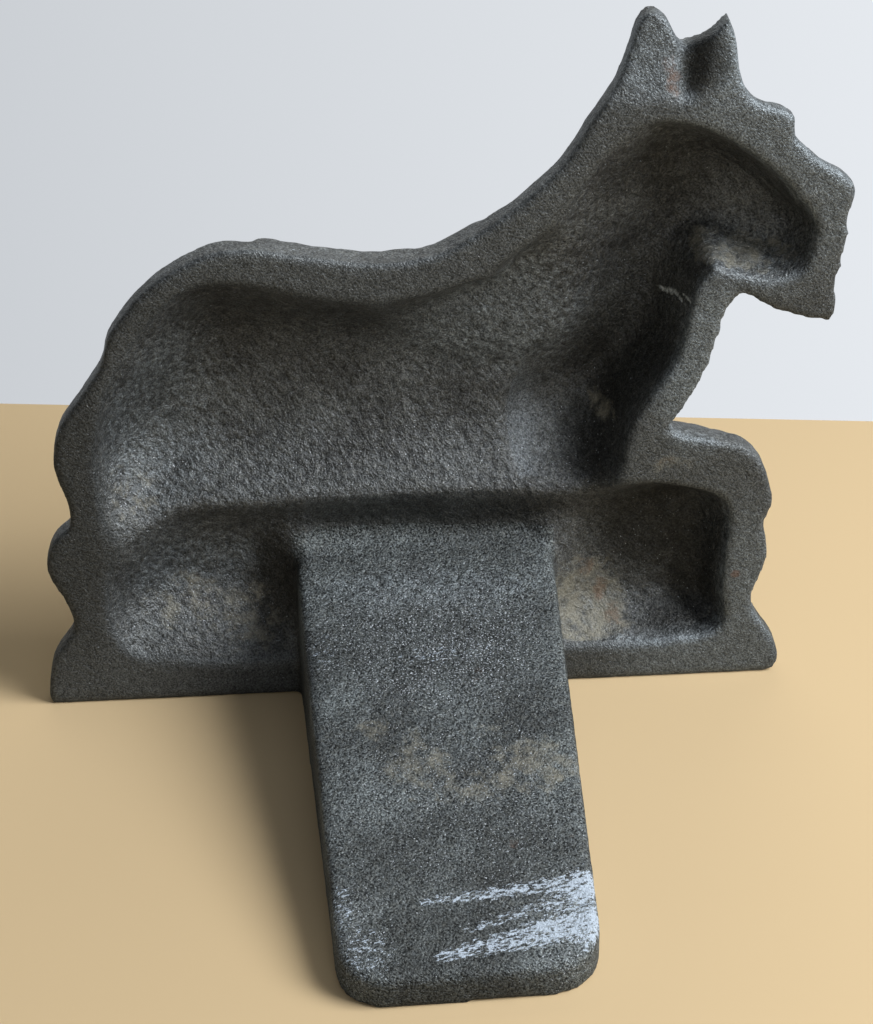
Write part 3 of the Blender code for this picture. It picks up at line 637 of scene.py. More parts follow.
def figure_body():
    front = front_depth(flat)
    deepest = np.maximum(front - THINNEST_WALL, THINNEST_SHARE * front)
    back = np.minimum(back_depth(flat), deepest)
    print("thinnest wall", round(float((front - back).min()), 2), "mm")
    count = len(flat)
    verts = [(x, -y, z) for (x, z), y in zip(flat, back)]
    verts += [(x, -y, z) for (x, z), y in zip(flat, front)]
    faces = [tuple(reversed(face)) for face in layout_faces]
    faces += [tuple(index + count for index in face) for face in layout_faces]
    faces += [(start, end, end + count, start + count)
              for start, end in open_edges(layout_faces)]
    item = mesh_object("figure_body", placed(verts), faces)
    shape = bmesh.new()
    shape.from_mesh(item.data)
    bmesh.ops.recalc_face_normals(shape, faces=shape.faces)
    shape.to_mesh(item.data)
    shape.free()
    return item


body = figure_body()

# %% [markdown]
# ## The tongue
#
# The tongue is a wedge with a level sole, a sloping top and rounded edges. Behind the flat of the
# back its root runs on until it sinks in the hollow's floor, so that the remesh welds the two.
# A bevelled box would be quicker, but the toe has wide corners and a slight skew, so the plan is
# drawn once and stacked in rings.

# %% Wedge tongue
TONGUE_LENGTH = 85.2
TONGUE_SINK = 14.7
TONGUE_TOE_WIDTH = 42.2
TONGUE_TOE_X = 0.9
TONGUE_TOE_SKEW = 1.6
TONGUE_ROOT_HEIGHT = 26.2
TONGUE_TOE_THICKNESS = 5.5
TONGUE_TOE_CORNER = 8.5
TONGUE_EDGE_ROUND = 1.3
CORNER_STEPS = 16
ROUND_STEPS = 6
tongue_slope = (TONGUE_ROOT_HEIGHT - TONGUE_TOE_THICKNESS) / TONGUE_LENGTH


def tongue_top(y):
    return TONGUE_TOE_THICKNESS + tongue_slope * (TONGUE_LENGTH - y)


def tongue_plan():
    """The tongue from above, counter-clockwise, with its root sunk in the hollow's floor."""
    half_toe = TONGUE_TOE_WIDTH / 2
    side = [(TONGUE_ROOT_WIDTH / 2, -TONGUE_SINK), (TONGUE_ROOT_WIDTH / 2, 0.0)]
    corner = (half_toe - TONGUE_TOE_CORNER, TONGUE_LENGTH - TONGUE_TOE_CORNER)
    for angle in np.linspace(0, math.pi / 2, CORNER_STEPS):
        side.append((corner[0] + TONGUE_TOE_CORNER * math.cos(angle),
                     corner[1] + TONGUE_TOE_CORNER * math.sin(angle)))
    plan = []
    for x, y in side + [(-x, y) for x, y in reversed(side)]:
        along = max(y, 0) / TONGUE_LENGTH
        middle = TONGUE_ROOT_X + (TONGUE_TOE_X - TONGUE_ROOT_X) * along
        plan.append((middle + x, y + TONGUE_TOE_SKEW * along * (x / TONGUE_TOE_WIDTH - 0.5)))
    return np.array(plan)


def inset(loop, distance):
    """A convex counter-clockwise loop moved inward by one distance."""
    before = left_of(loop - np.roll(loop, 1, axis=0))
    middle = before + left_of(np.roll(loop, -1, axis=0) - loop)
    middle = middle / np.linalg.norm(middle, axis=1)[:, None]
    return loop + middle * (distance / (middle * before).sum(axis=1))[:, None]


def wedge_tongue():
    plan = tongue_plan()
    rings = [[(x, y, 0.0) for x, y in plan]]
    for angle in np.linspace(0, math.pi / 2, ROUND_STEPS):
        drop = TONGUE_EDGE_ROUND * (1 - math.sin(angle))
        loop = inset(plan, TONGUE_EDGE_ROUND * (1 - math.cos(angle)))
        rings.append([(x, y, tongue_top(y) - drop) for x, y in loop])
    count = len(plan)
    verts = [point for level in rings for point in level]
    faces = [tuple(reversed(range(count)))]
    faces.append(tuple(range(len(verts) - count, len(verts))))
    for level in range(len(rings) - 1):
        first = level * count
        for index in range(count):
            after = (index + 1) % count
            lower = (first + index, first + after)
            faces.append(lower + (first + count + after, first + count + index))
    return mesh_object("tongue_body", placed(verts), faces)


tongue = wedge_tongue()
print("tongue slope", round(math.degrees(math.atan(tongue_slope)), 1), "degrees")

# %% [markdown]
# ## Marks
#
# Long use leaves pale dust in the corners of the hollows, rust where the paint has gone, bright
# grains where hands and doors rub, and white streaks of door paint near the toe. Some marks are
# painted light and shade instead: dark ones where the hollows lie in shade, pale ones where the
# window's light falls, and glints among the rubbed grains. Each mark is an ellipsoid, painted on
# the skin's points as a soft value. An image would need the skin to be unwrapped first, and a
# value on the points doesn't. The material roughens its edge.

# %% Where the marks are
# Each mark has a centre, half sizes and a strength.
MARKS = {
    # Dark marks: some old black finish, and mostly painted shade where the hollows lie in shadow,
    # under the ridge, beside the tongue, on the far ear's facet turned from the window and on the
    # tongue's shaded edges.
    "paint_shade": [
        ((-36, -12, 60), (11, 12, 28), 0.7), ((-30, -12, 46), (9, 12, 9), 0.7),
        ((-41, -9, 29), (15, 10, 13), 1.0), ((-48, -10, 20), (7, 9, 14), 1.0),
        ((2, -9, 34), (34, 8, 5.5), 0.6), ((29, -6, 20), (6, 8, 16), 0.8),
        ((-42, -10, 99), (20, 10, 9), 0.5), ((-60, -9, 95), (8, 9, 8), 0.5),
        ((-45, -6, 9), (9, 8, 4), 0.7), ((3, 18, 22), (26, 10, 30), 0.5),
        ((2, 62, 12), (24, 10, 30), 0.5), ((7, 79, 8), (17, 10, 30), 0.6),
        ((-22.4, 36, 12), (2.2, 42, 30), 0.75), ((22, 20, 22), (6, 8, 30), 0.55),
        ((15, -9, 76), (34, 9, 8), 0.4), ((-44, -2, 121), (4.5, 5, 6), 0.9),
        ((26, 10, 6), (3, 20, 14), 0.35),
        # Painted shade along the tail-side rim, which mirrors the floor in the casting's shadow.
        ((66, 0, 50), (12, 4, 46), 0.55), ((55, 0, 84), (14, 4, 12), 0.4),
    ],
    # Painted light: pale marks where the window's light and its reflection fall, on the head-side
    # rims, the ears, the chin's ledge, the neck, the tail-side hollows and the tongue.
    "painted_light": [
        ((-56, 0, 102), (24, 4, 26), 0.6), ((-50, 0, 14), (22, 4, 30), 0.65),
        ((-46, 0, 66), (10, 4, 20), 0.85), ((-36, -3, 122), (9, 8, 9), 0.5),
        ((-48, -2, 120), (5, 6, 9), 0.8), ((2, 4, 24), (30, 6, 6), 0.4),
        ((43, -8, 24), (18, 8, 7), 0.5), ((50, -8, 58), (17, 9, 24), 0.45),
        ((25, 22, 20), (2.6, 26, 9), 0.5), ((-54, -5, 84), (10, 9, 3.6), 0.4),
        ((-11, -9, 73), (20, 10, 17), 0.55),
    ],
    "dust": [
        ((-27, -6, 13), (12, 9, 13), 0.95), ((-20, -5, 25), (7, 6, 6), 0.35),
        ((-27, -9, 9), (8, 6, 4), 0.7), ((46, -9, 15), (13, 8, 9), 0.7),
        ((54, -6, 42), (8, 8, 9), 0.6), ((12, 36, 15), (8, 5, 30), 0.55),
        ((7, 43, 15), (9, 8, 30), 0.7), ((-1, 48, 15), (12, 6, 30), 0.65),
        ((-13, 44.5, 15), (12, 8, 30), 0.8), ((-3, 39, 15), (15, 6, 30), 0.45),
        ((-42, 0, 46), (6, 3, 3), 0.6), ((34, -7, 13), (9, 8, 10), 0.7),
        ((-53, -7, 84), (12, 9, 3.4), 0.85), ((-46, -6, 86), (7, 8, 4), 0.8),
        ((-31, -15, 51.6), (4, 14, 3.2), 0.8), ((-35.6, -14, 50.6), (3, 14, 4), 0.75),
        ((36, -8, 19), (8, 8, 7), 0.4),
    ],
    "rust": [
        ((-28.0, -7, 20.5), (2.4, 9, 3.0), 0.75), ((-31.0, -8, 15.5), (2.2, 9, 4.0), 0.75),
        ((-33.0, -8, 10.5), (2.4, 9, 4.0), 0.65), ((-25, -6, 28), (3, 6, 2), 0.4),
        ((-54.5, 0, 22.2), (1.3, 2, 1.3), 1.0), ((-38.6, -3, 117), (2.4, 4, 4), 0.75),
        ((-38, -3, 120.5), (2.0, 4, 3), 0.75), ((-6, 25, 15), (3, 3, 30), 0.45),
        ((-18, 60, 15), (2, 2.4, 30), 0.5), ((-8, 60, 15), (2.4, 1.8, 30), 0.45),
        ((15, 58, 15), (3, 2, 30), 0.35), ((-40, 0, 47), (4, 2, 1.6), 0.45),
        ((52, -1, 32), (6, 3, 3), 0.25), ((-24.5, 45, 14), (3, 30, 30), 0.3),
    ],
    "scuff": [
        ((-18, 69.5, 9.3), (4.5, 5, 2.4), 0.8), ((-18, 77, 7.5), (4, 6, 2.4), 0.75),
        ((20.5, 71, 9), (2.2, 6, 30), 0.45), ((17.5, 79, 8), (5, 5.5, 30), 0.42),
        ((-6, 86.6, 4.4), (7, 1.8, 0.9), 0.8), ((-1, 19.5, 22), (10, 2.5, 30), 0.34),
        ((-5.5, 10.5, 22), (4, 2, 30), 0.32), ((21.5, 18, 21), (2.2, 5, 30), 0.36),
    ],
    "scratch": [
        ((-40.5, -9, 75.0), (1.6, 16, 0.75), 0.9), ((-42.2, -9, 76.0), (1.5, 16, 0.75), 1.0),
        ((-43.6, -9, 77.2), (1.3, 16, 0.75), 1.0),
    ],
    # Rubbed places: their pale flecks are partly worn grains and partly painted glints of the
    # window.
    "worn_and_glints": [
        ((2, 16, 22), (24, 20, 30), 1.0), ((-2, 19, 22), (14, 5, 30), 1.2),
        ((0, 52, 16), (22, 26, 30), 0.6),
        ((-16, 76, 10), (8, 14, 30), 0.8), ((18, 76, 10), (6, 12, 30), 0.7),
        ((52, -6, 44), (12, 10, 10), 0.5), ((44, -9, 15), (16, 10, 10), 0.5),
        ((0, -8, 46), (50, 10, 8), 0.3),
    ],
}

# Streaks of paint on the tongue: start, end, half width at the end, strength.
STREAKS = [
    ((8.0, 70.6), (-20.5, 67.8), 2.4, 0.72), ((1.5, 76.2), (-19.5, 70.0), 2.2, 0.62),
    ((5.5, 80.8), (-19.5, 75.4), 3.8, 0.82), ((-3.0, 77.8), (-19.5, 72.4), 2.0, 0.6),
]

# %% [markdown]
# ## Iron
#
# Grey cast iron with the last of its old black finish. The sand leaves a grain of a third of a
# millimetre and pits of about one. Each grain catches the window at its own angle, which is why
# the surface glitters although it is rough; part of that glitter is painted, as pale flecks and
# as the tongue's stronger grain. It is only partly metallic here, because bare grains and old
# finish lie side by side, finer than the picture can show.

# %% Colours and nodes
MATH = "ShaderNodeMath"
VECTOR = "ShaderNodeVectorMath"
MIX = "ShaderNodeMix"
RANGE = "ShaderNodeMapRange"


def linear(hex_colour):
    """An sRGB hex colour as linear red, green, blue and full alpha."""
    values = [int(hex_colour[index:index + 2], 16) / 255 for index in (0, 2, 4)]
    return tuple(v / 12.92 if v <= 0.04045 else ((v + 0.055) / 1.055) ** 2.4
                 for v in values) + (1.0,)


def add(tree, kind, inputs=None, out=0, **settings):
    """Adds a node and returns one output, or the node; inputs are sockets or plain values."""
    node = tree.nodes.new(kind)
    for key, value in settings.items():
        setattr(node, key, value)
    for key, value in (inputs or {}).items():
        if isinstance(value, bpy.types.NodeSocket):
            tree.links.new(value, node.inputs[key])
        else:
            node.inputs[key].default_value = value
    return node if out is None else node.outputs[out]


# %% [markdown]
# The iron's look is built in layers, from the metal up. A layer takes one of the painted marks,
# adds a noise to it so that its edge breaks up, and turns the sum into a share of a colour. All
# sizes are real millimetres: sand grains, the pits they leave, lumps of the mould and patches.

# %% Noises and layers
# Each noise has its size in millimetres, its detail and its roughness.
NOISES = {
    "grain": (0.34, 2.0, 0.6), "fleck": (0.28, 0.0, 0.5), "tint": (0.8, 2.0, 0.6),
    "pits": (1.1, 3.0, 0.5), "crust": (3.4, 6.0, 0.75), "lumps": (2.6, 2.0, 0.5),
    "patches": (15.0, 4.0, 0.6), "streaks": (0.5, 4.0, 0.8), "strokes": (1.1, 3.0, 0.6),
}
# Noises are turned about an axis and stretched: paint streaks lie across the tongue, and
# strokes of the moulder's brush across the hollow.
TURNS = {
    "streaks": ((0, 0, 1), -0.25, (0.4, 1.0, 1.0)),
    "strokes": ((0, 1, 0), 1.05, (0.55, 1.0, 1.0)),
    "others": ((0.4, 0.7, 0.6), 0.8, (1.0, 1.0, 1.0)),
}
# A layer's mark, noise and the noise's weight, the range of the sum, and the share and colour.
UNDER_LAYERS = [
    ("rim", "patches", 0.0, 0.35, 0.65, 1.0, "light"),
    ("rim", "tint", 0.0, 0.42, 0.72, 0.4, "666459"),
    ("rim", "pits", 1.0, 0.9, 1.3, 0.75, "6C6F6F"),
    # Painted light on the lit places.
    ("painted_light", "pits", 1.0, 0.7, 1.4, 0.8, "969EA2"),
    # A painted highlight on the lit left slope of the chest pocket.
    ("pocket_lit_band", "pits", 1.0, 0.8, 1.4, 0.2, "8E98A0"),
    # Old black finish and painted shade.
    ("paint_shade", "pits", 1.0, 0.6, 1.5, 0.85, "32312D"),
]
OVER_LAYERS = [
    ("dust", "crust", 0.45, 0.76, 0.98, 0.8, "9C9786"),
    ("rust", "crust", 0.5, 0.78, 0.98, 0.65, "76553F"),
    # Worn grains and painted glints.
    ("worn_and_glints", "fleck", 0.17, 0.82, 0.88, 1.0, "C9CED2"),
    ("scuff", "streaks", 0.3, 0.68, 0.72, 1.0, "D6E2EE"),
    ("scratch", "pits", 1.0, 1.2, 1.5, 1.0, "DDE2E0"),
]


# %% [markdown]
# One function makes both irons, which differ in tone, contrast, brush strokes and grain. The
# tongue's stronger grain contrast is partly painted glitter, on the top that faces the window.

# %% Old cast iron
METAL = 0.65
SMOOTHNESS = 0.6
NOISE_SPREAD = (0.33, 0.65)
NOISE_MEAN = 0.5
PIT_SHADES = (0.75, 1.1)
STROKE_LIGHT = 0.6
LAST_SHADES = (0.85, 1.12)
ROUGH_SPREAD = (0.3, 0.7)
ROUGHNESS = (0.4, 0.56)
PIT_HEIGHT = 0.6
STROKE_HEIGHT = 3
RELIEF_MM = 0.4
MATT_KINDS = ("dust", "rust", "scuff", "scratch")


def cast_iron(name, dark, light, contrast, strokes, grain_depth):
    material = bpy.data.materials.new(name)
    material.use_nodes = True
    tree = material.node_tree
    place = add(tree, "ShaderNodeTexCoord", out="Object")
    turned = {}
    for kind, (axis, angle, stretch) in TURNS.items():
        spun = add(tree, "ShaderNodeVectorRotate", {"Vector": place, "Axis": axis, "Angle": angle})
        turned[kind] = add(tree, VECTOR, {0: spun, 1: stretch}, operation="MULTIPLY")
    field = {}
    for kind, (size_mm, detail, roughness) in NOISES.items():
        field[kind] = add(tree, "ShaderNodeTexNoise", {
            "Vector": turned.get(kind, turned["others"]), "Scale": 1 / (size_mm * MM),
            "Detail": detail, "Roughness": roughness}, "Fac")
    for kind in ("rim", "pocket_lit_band", *MARKS):
        field[kind] = add(tree, "ShaderNodeAttribute", out="Fac", attribute_name=kind)
    # The rim and the pocket behind the chest were smoothed in the sand: their grain is fine.
    smooth = add(tree, MATH, {0: field["rim"], 1: field["pocket_lit_band"]}, operation="MAXIMUM")
    smooth = add(tree, MATH, {0: smooth, 1: SMOOTHNESS}, operation="MULTIPLY")
    for kind in ("strokes", "lumps", "pits"):
        field[kind] = add(tree, MIX, {0: smooth, 2: field[kind], 3: NOISE_MEAN})

    colour = linear(dark)
    cover = 0.0
    shades = (("grain", 1 - contrast, 1 + contrast), ("pits", *PIT_SHADES),
              ("strokes", 1 - strokes, 1 + STROKE_LIGHT * strokes))
    for kind, *step in (*UNDER_LAYERS, *shades, *OVER_LAYERS, ("grain", *LAST_SHADES)):
        if len(step) == 2:
            shade = add(tree, RANGE, {"Value": field[kind], "From Min": NOISE_SPREAD[0],
                        "From Max": NOISE_SPREAD[1], "To Min": step[0], "To Max": step[1]})
            colour = add(tree, MIX, {0: 1.0, 6: colour, 7: shade}, 2, data_type="RGBA",
                         blend_type="MULTIPLY")
            continue
        ragged_by, weight, low, high, most, paint_shade = step
        edge = add(tree, MATH, {0: field[kind], 1: weight, 2: field[ragged_by]},
                   operation="MULTIPLY_ADD")
        share = add(tree, RANGE, {"Value": edge, "From Min": low, "From Max": high,
                    "To Min": 0.0, "To Max": most})
        paint_shade = linear(light if paint_shade == "light" else paint_shade)
        colour = add(tree, MIX, {0: share, 6: colour, 7: paint_shade}, 2, data_type="RGBA")
        if kind in MATT_KINDS:
            cover = add(tree, MATH, {0: cover, 1: share}, operation="MAXIMUM")

    metal = add(tree, RANGE, {"Value": cover, "To Min": METAL, "To Max": 0.0})
    rough = add(tree, RANGE, {"Value": field["pits"], "From Min": ROUGH_SPREAD[0],
                "From Max": ROUGH_SPREAD[1], "To Min": ROUGHNESS[0], "To Max": ROUGHNESS[1]})
    height = add(tree, MATH, {0: field["pits"], 1: PIT_HEIGHT, 2: field["lumps"]},
                 operation="MULTIPLY_ADD")
    height = add(tree, MATH, {0: field["strokes"], 1: STROKE_HEIGHT * strokes, 2: height},
                 operation="MULTIPLY_ADD")
    coarse = add(tree, "ShaderNodeBump", {"Height": height, "Distance": RELIEF_MM * MM})
    fine = add(tree, "ShaderNodeBump", {"Height": field["grain"], "Normal": coarse,
               "Distance": grain_depth * MM})
    shader = tree.nodes["Principled BSDF"].inputs
    for key, value in (("Base Color", colour), ("Metallic", metal), ("Roughness", rough),
                       ("Normal", fine)):
        tree.links.new(value, shader[key])
    return material


figure_iron = cast_iron("cast_iron_old_black", "5F6060", "7E8181", contrast=0.45,
                        strokes=0.35, grain_depth=0.22)
# The tongue's iron: rubbed by doors, and with a stronger grain contrast that is partly painted
# glitter.
tongue_iron = cast_iron("cast_iron_rubbed_glinting", "595C5C", "7F8585", contrast=0.88,
                        strokes=0.12, grain_depth=0.36)
for iron in (figure_iron, tongue_iron):
    print(iron.name, len(iron.node_tree.nodes), "nodes")

# %% [markdown]
# ## One skin
#
# A boolean union would leave a sharp crease where the tongue leaves the hollow. A voxel remesh
# takes the outer skin of the overlapping forms, as the sand mould does, and leaves even points
# that are easy to move.

# %% Join and remesh
VOXEL = 0.68


def object_from(shape, name):
    """An object made from a bmesh, which is freed."""
    data = bpy.data.meshes.new(name)
    shape.to_mesh(data)
    shape.free()
    return new_object(name, data)


def joined(name, items):
    """One object from copies of several, which are removed."""
    shape = bmesh.new()
    for item in items:
        shape.from_mesh(item.data)
        bpy.data.objects.remove(item)
    return object_from(shape, name)


def applied(item):
    """Turns an object's modifiers into its plain mesh."""
    graph = bpy.context.evaluated_depsgraph_get()
    data = bpy.data.meshes.new_from_object(item.evaluated_get(graph))
    item.modifiers.clear()
    item.data = data
    return item


casting = joined("casting", [body, tongue])
remesh = casting.modifiers.new("melt", "REMESH")
remesh.mode = "VOXEL"
remesh.voxel_size = VOXEL * MM
remesh.use_smooth_shade = True
applied(casting)
print("skin", len(casting.data.vertices), "points,", len(casting.data.polygons), "faces")

# %% [markdown]
# Relaxing pulls each point towards its neighbours: a little everywhere, less on the rim's crisp
# edge, and for many rounds at the root. There it leaves the fillet that a founder puts in every
# corner. A Bevel modifier needs a clean edge to follow, and the remeshed skin has none.

# %% Relax the skin and fillet the root
SKIN_RELAX = 0.5
EDGE_SPARED = 0.4
SKIN_ROUNDS = 2
FILLET_RELAX = 0.6
FILLET_ROUNDS = 60
SIDE_FILLET = 3.5
TOP_FILLET = 3.0
TOP_HALF_WIDTH = 25.0
FILLET_DEPTH = (2.0, 5.0)
FILLET_FLOOR = (-16.0, 2.0)
FILLET_TOP = (-34.0, 3.0)
EDGE_BAND = (-1.6, 1.0)
EDGE_DEPTH = (-2.0, 1.0)
EDGE_OUTSIDE = 0.5


def rows(items, name, width=3, kind=float):
    """One property of many items, a row for each."""
    values = np.zeros(len(items) * width, dtype=kind)
    items.foreach_get(name, values)
    return values.reshape(-1, width)


def skin_points(item):
    return (rows(item.data.vertices, "co") - PLACE) / MM


def skin_normals(item):
    return rows(item.data.vertex_normals, "vector")


def relax(item, weights, rounds):
    """Moves each point towards the middle of its neighbours, by its weight."""
    points = skin_points(item)
    ends = rows(item.data.edges, "vertices", 2, int)
    counts = np.bincount(ends.ravel(), minlength=len(points))[:, None]
    for _ in range(rounds):
        total = np.zeros_like(points)
        for axis in range(3):
            total[:, axis] = (np.bincount(ends[:, 0], points[ends[:, 1], axis], len(points))
                              + np.bincount(ends[:, 1], points[ends[:, 0], axis], len(points)))
        points = points + weights[:, None] * (total / counts - points)
    item.data.vertices.foreach_set("co", placed(points).ravel())
    item.data.update()


def root_weights(points):
    """1 on the tongue's root and in the hollow round it, fading out over a few millimetres."""
    x, y, z = points.T
    offset = np.abs(x - TONGUE_ROOT_X)
    near_side = np.exp(-((offset - TONGUE_ROOT_WIDTH / 2) / SIDE_FILLET) ** 2)
    in_hollow = fade(-y, *FILLET_DEPTH) * fade(y, *FILLET_FLOOR) * fade(-z, *FILLET_TOP)
    near_top = np.exp(-((z - tongue_top(y)) / TOP_FILLET) ** 2) * (offset < TOP_HALF_WIDTH)
    return np.clip(np.maximum(near_side, near_top) * in_hollow, 0, 1)


def rim_edge(points):
    """1 on the inner edge of the rim, which the file left crisp."""
    y = points[:, 1]
    gap, _ = line_distance(points[:, [0, 2]], hollow)
    return fade(-gap, *EDGE_BAND) * fade(y, *EDGE_DEPTH) * (y < EDGE_OUTSIDE)


relax(casting, SKIN_RELAX - EDGE_SPARED * rim_edge(skin_points(casting)), SKIN_ROUNDS)
fillet = root_weights(skin_points(casting))
relax(casting, FILLET_RELAX * fillet, FILLET_ROUNDS)
print("fillet points", int((fillet > 0).sum()))

# %% [markdown]
# ## Skin of the casting
#
# Sand leaves low lumps everywhere, and on the front the pattern had locks of coat. Both follow
# the surface, so one node tree pushes each point along its normal: by a noise for the lumps, and
# by stretched cells for the locks. The locks fan out from a parting above the dog's nose, so
# they hang on the chest and sweep back over the body. Nodes were chosen because the size and
# height of both are then inputs that can be turned up or down.

# %% Node tree of the skin
SKIN_INPUTS = [
    ("Lump size", 2.6 * MM), ("Lump height", 0.07 * MM), ("Lock width", 2.5 * MM),
    ("Lock length", 8.0 * MM), ("Lock height", 0.75 * MM), ("Seed", 7.0),
]
PARTING = (-78.0, 0.0, 165.0)
MEAN_REACH = 90 * MM
LUMP_STRETCH = 4.0
LOCK_DOME = 0.45


def skin_tree(material):
    tree = bpy.data.node_groups.new("cast_skin", "GeometryNodeTree")
    tree.interface.new_socket("Geometry", in_out="INPUT", socket_type="NodeSocketGeometry")
    tree.interface.new_socket("Geometry", in_out="OUTPUT", socket_type="NodeSocketGeometry")
    for name, value in SKIN_INPUTS:
        tree.interface.new_socket(name, in_out="INPUT", socket_type="NodeSocketFloat")
    given = add(tree, "NodeGroupInput", out=None).outputs
    place = add(tree, "GeometryNodeInputPosition")
    normal = add(tree, "GeometryNodeInputNormal")
    fine = add(tree, MATH, {0: 1.0, 1: given["Lump size"]}, operation="DIVIDE")
    lump_place = add(tree, VECTOR, {0: place, "Scale": fine}, operation="SCALE")
    lump = add(tree, "ShaderNodeTexNoise", {"Vector": lump_place, "W": given["Seed"],
               "Scale": 1.0, "Detail": 2.0}, "Fac", noise_dimensions="4D")
    lump = add(tree, MATH, {0: lump, 1: LUMP_STRETCH, 2: -LUMP_STRETCH / 2},
               operation="MULTIPLY_ADD")

    from_parting = add(tree, VECTOR, {0: place, 1: tuple(placed(PARTING))}, operation="SUBTRACT")
    flat_part = add(tree, VECTOR, {0: from_parting, 1: (1, 0, -1)}, operation="MULTIPLY")
    away = add(tree, VECTOR, {0: flat_part}, "Value", operation="LENGTH")
    parts = add(tree, "ShaderNodeSeparateXYZ", {0: flat_part}, None).outputs
    turn = add(tree, MATH, {0: parts["X"], 1: parts["Z"]}, operation="ARCTAN2")
    around_it = add(tree, MATH, {0: turn, 1: MEAN_REACH}, operation="MULTIPLY")
    across = add(tree, MATH, {0: around_it, 1: given["Lock width"]}, operation="DIVIDE")
    along = add(tree, MATH, {0: away, 1: given["Lock length"]}, operation="DIVIDE")
    cell_place = add(tree, "ShaderNodeCombineXYZ", {"X": across, "Y": along})
    cell = add(tree, "ShaderNodeTexVoronoi", {"Vector": cell_place, "Scale": 1.0,
               "Randomness": 0.9}, "Distance", voronoi_dimensions="2D")
    square = add(tree, MATH, {0: cell, 1: cell}, operation="MULTIPLY")
    dome = add(tree, MATH, {0: LOCK_DOME, 1: square}, operation="SUBTRACT")
    coat = add(tree, "GeometryNodeInputNamedAttribute", {"Name": "coat"}, "Attribute",
               data_type="FLOAT")
    dome = add(tree, MATH, {0: dome, 1: coat}, operation="MULTIPLY")
    lock = add(tree, MATH, {0: dome, 1: given["Lock height"]}, operation="MULTIPLY")

    rise = add(tree, MATH, {0: lump, 1: given["Lump height"], 2: lock}, operation="MULTIPLY_ADD")
    push = add(tree, VECTOR, {0: normal, "Scale": rise}, operation="SCALE")
    moved = add(tree, "GeometryNodeSetPosition", {"Geometry": given["Geometry"], "Offset": push})
    real = add(tree, "GeometryNodeRealizeInstances", {"Geometry": moved})
    clad = add(tree, "GeometryNodeSetMaterial", {"Geometry": real, "Material": material})
    add(tree, "NodeGroupOutput", {"Geometry": clad}, None)
    return tree


# %% [markdown]
# The coat is painted on the skin's points first, because the tree asks where it grows.

# %% Where the coat is
BARE_SPOTS = [
    ((-68, 97), (5, 5)), ((-55, 103), (3.4, 3.0)), ((-58, 43.5), (6, 7)), ((-62, 88), (7, 3)),
]
BARE_POWER = 0.5
COAT_FACING = (0.1, 0.5)
COAT_FOOT = (41.0, 5.0)
COAT_EARS = (113.0, 4.0)
EARS_SHORTER_BY = 0.75


def coat_share(item):
    """1 on the dog's front, 0 on the cushion, the nose, the eye, the paw and the back."""
    points = skin_points(item)
    z = points[:, 2]
    share = fade(-skin_normals(item)[:, 1], *COAT_FACING) * fade(z, *COAT_FOOT)
    share = share * (1 - EARS_SHORTER_BY * fade(z, *COAT_EARS))
    for centre, half in BARE_SPOTS:
        share = share * (1 - mound(points[:, [0, 2]], centre, half, 0.0, BARE_POWER))
    return share


def store(item, name, values):
    """Stores one value for each point of the skin."""
    item.data.attributes.new(name, "FLOAT", "POINT").data.foreach_set("value", values)


skin = casting.modifiers.new("cast_skin", "NODES")
store(casting, "coat", coat_share(casting))
skin.node_group = skin_tree(figure_iron)
values = dict(SKIN_INPUTS)
for socket in skin.node_group.interface.items_tree:
    if socket.name in values:
        skin[socket.identifier] = values[socket.name]
applied(casting)
print("skin pushed,", len(casting.data.vertices), "points")

# %% [markdown]
# ## Two pieces
#
# The CAD model has the figure and the tongue as two solids, so the skin is cut by a plane just
# outside the back rim, and both cuts are closed. Cutting the finished skin, and not making two,
# keeps the grain and the fillet running on across the cut.

# %% Cut the skin at the back of the figure
CUT_Y = 0.8


def half_of(item, name, keep_front):
    shape = bmesh.new()
    shape.from_mesh(item.data)
    cut = bmesh.ops.bisect_plane(shape, geom=shape.verts[:] + shape.edges[:] + shape.faces[:],
                                 plane_co=placed((0, CUT_Y, 0)), plane_no=(0, 1, 0),
                                 clear_outer=keep_front, clear_inner=not keep_front)
    border = [edge for edge in cut["geom_cut"] if isinstance(edge, bmesh.types.BMEdge)]
    filled = bmesh.ops.holes_fill(shape, edges=border, sides=0)
    for face in filled["faces"]:
        face.smooth = False
    for edge in border:
        edge.smooth = False
    return object_from(shape, name)


dog = half_of(casting, "dog_casting", keep_front=True)
wedge = half_of(casting, "tongue_casting", keep_front=False)
bpy.data.objects.remove(casting)
for piece in (dog, wedge):
    print(piece.name, len(piece.data.polygons), "faces")

# %% [markdown]
# Now the marks are painted on both pieces, and with them the two areas that were smoothed in the
# sand: the flat rim with the ears, and the pocket behind the chest. The pocket also carries a
# painted highlight on its lit slope.

# %% Paint the marks
RIM_BAND = 1.3
RIM_FADE = 0.6
RIM_OUTSIDE = 0.6
ROOT_CLEARANCE = (0.4, 2.0)
EAR_RIM_FADE = 2.0
EAR_RIM_DEPTH = -5.5
POCKET_EDGE = 0.10
POCKET_FOOT = 41.0
POCKET_SIDE = (-23.0, 8.0)
POCKET_TOP = (-70.0, 16.0)
TURNED_AWAY = -0.2
TURNED_UP = 0.6
MARK_CORE = 1.25
DEEP_MARK = -4
RIM_REPELS = 4
STREAK_THIN = 0.35
STREAK_FAINT = 0.75


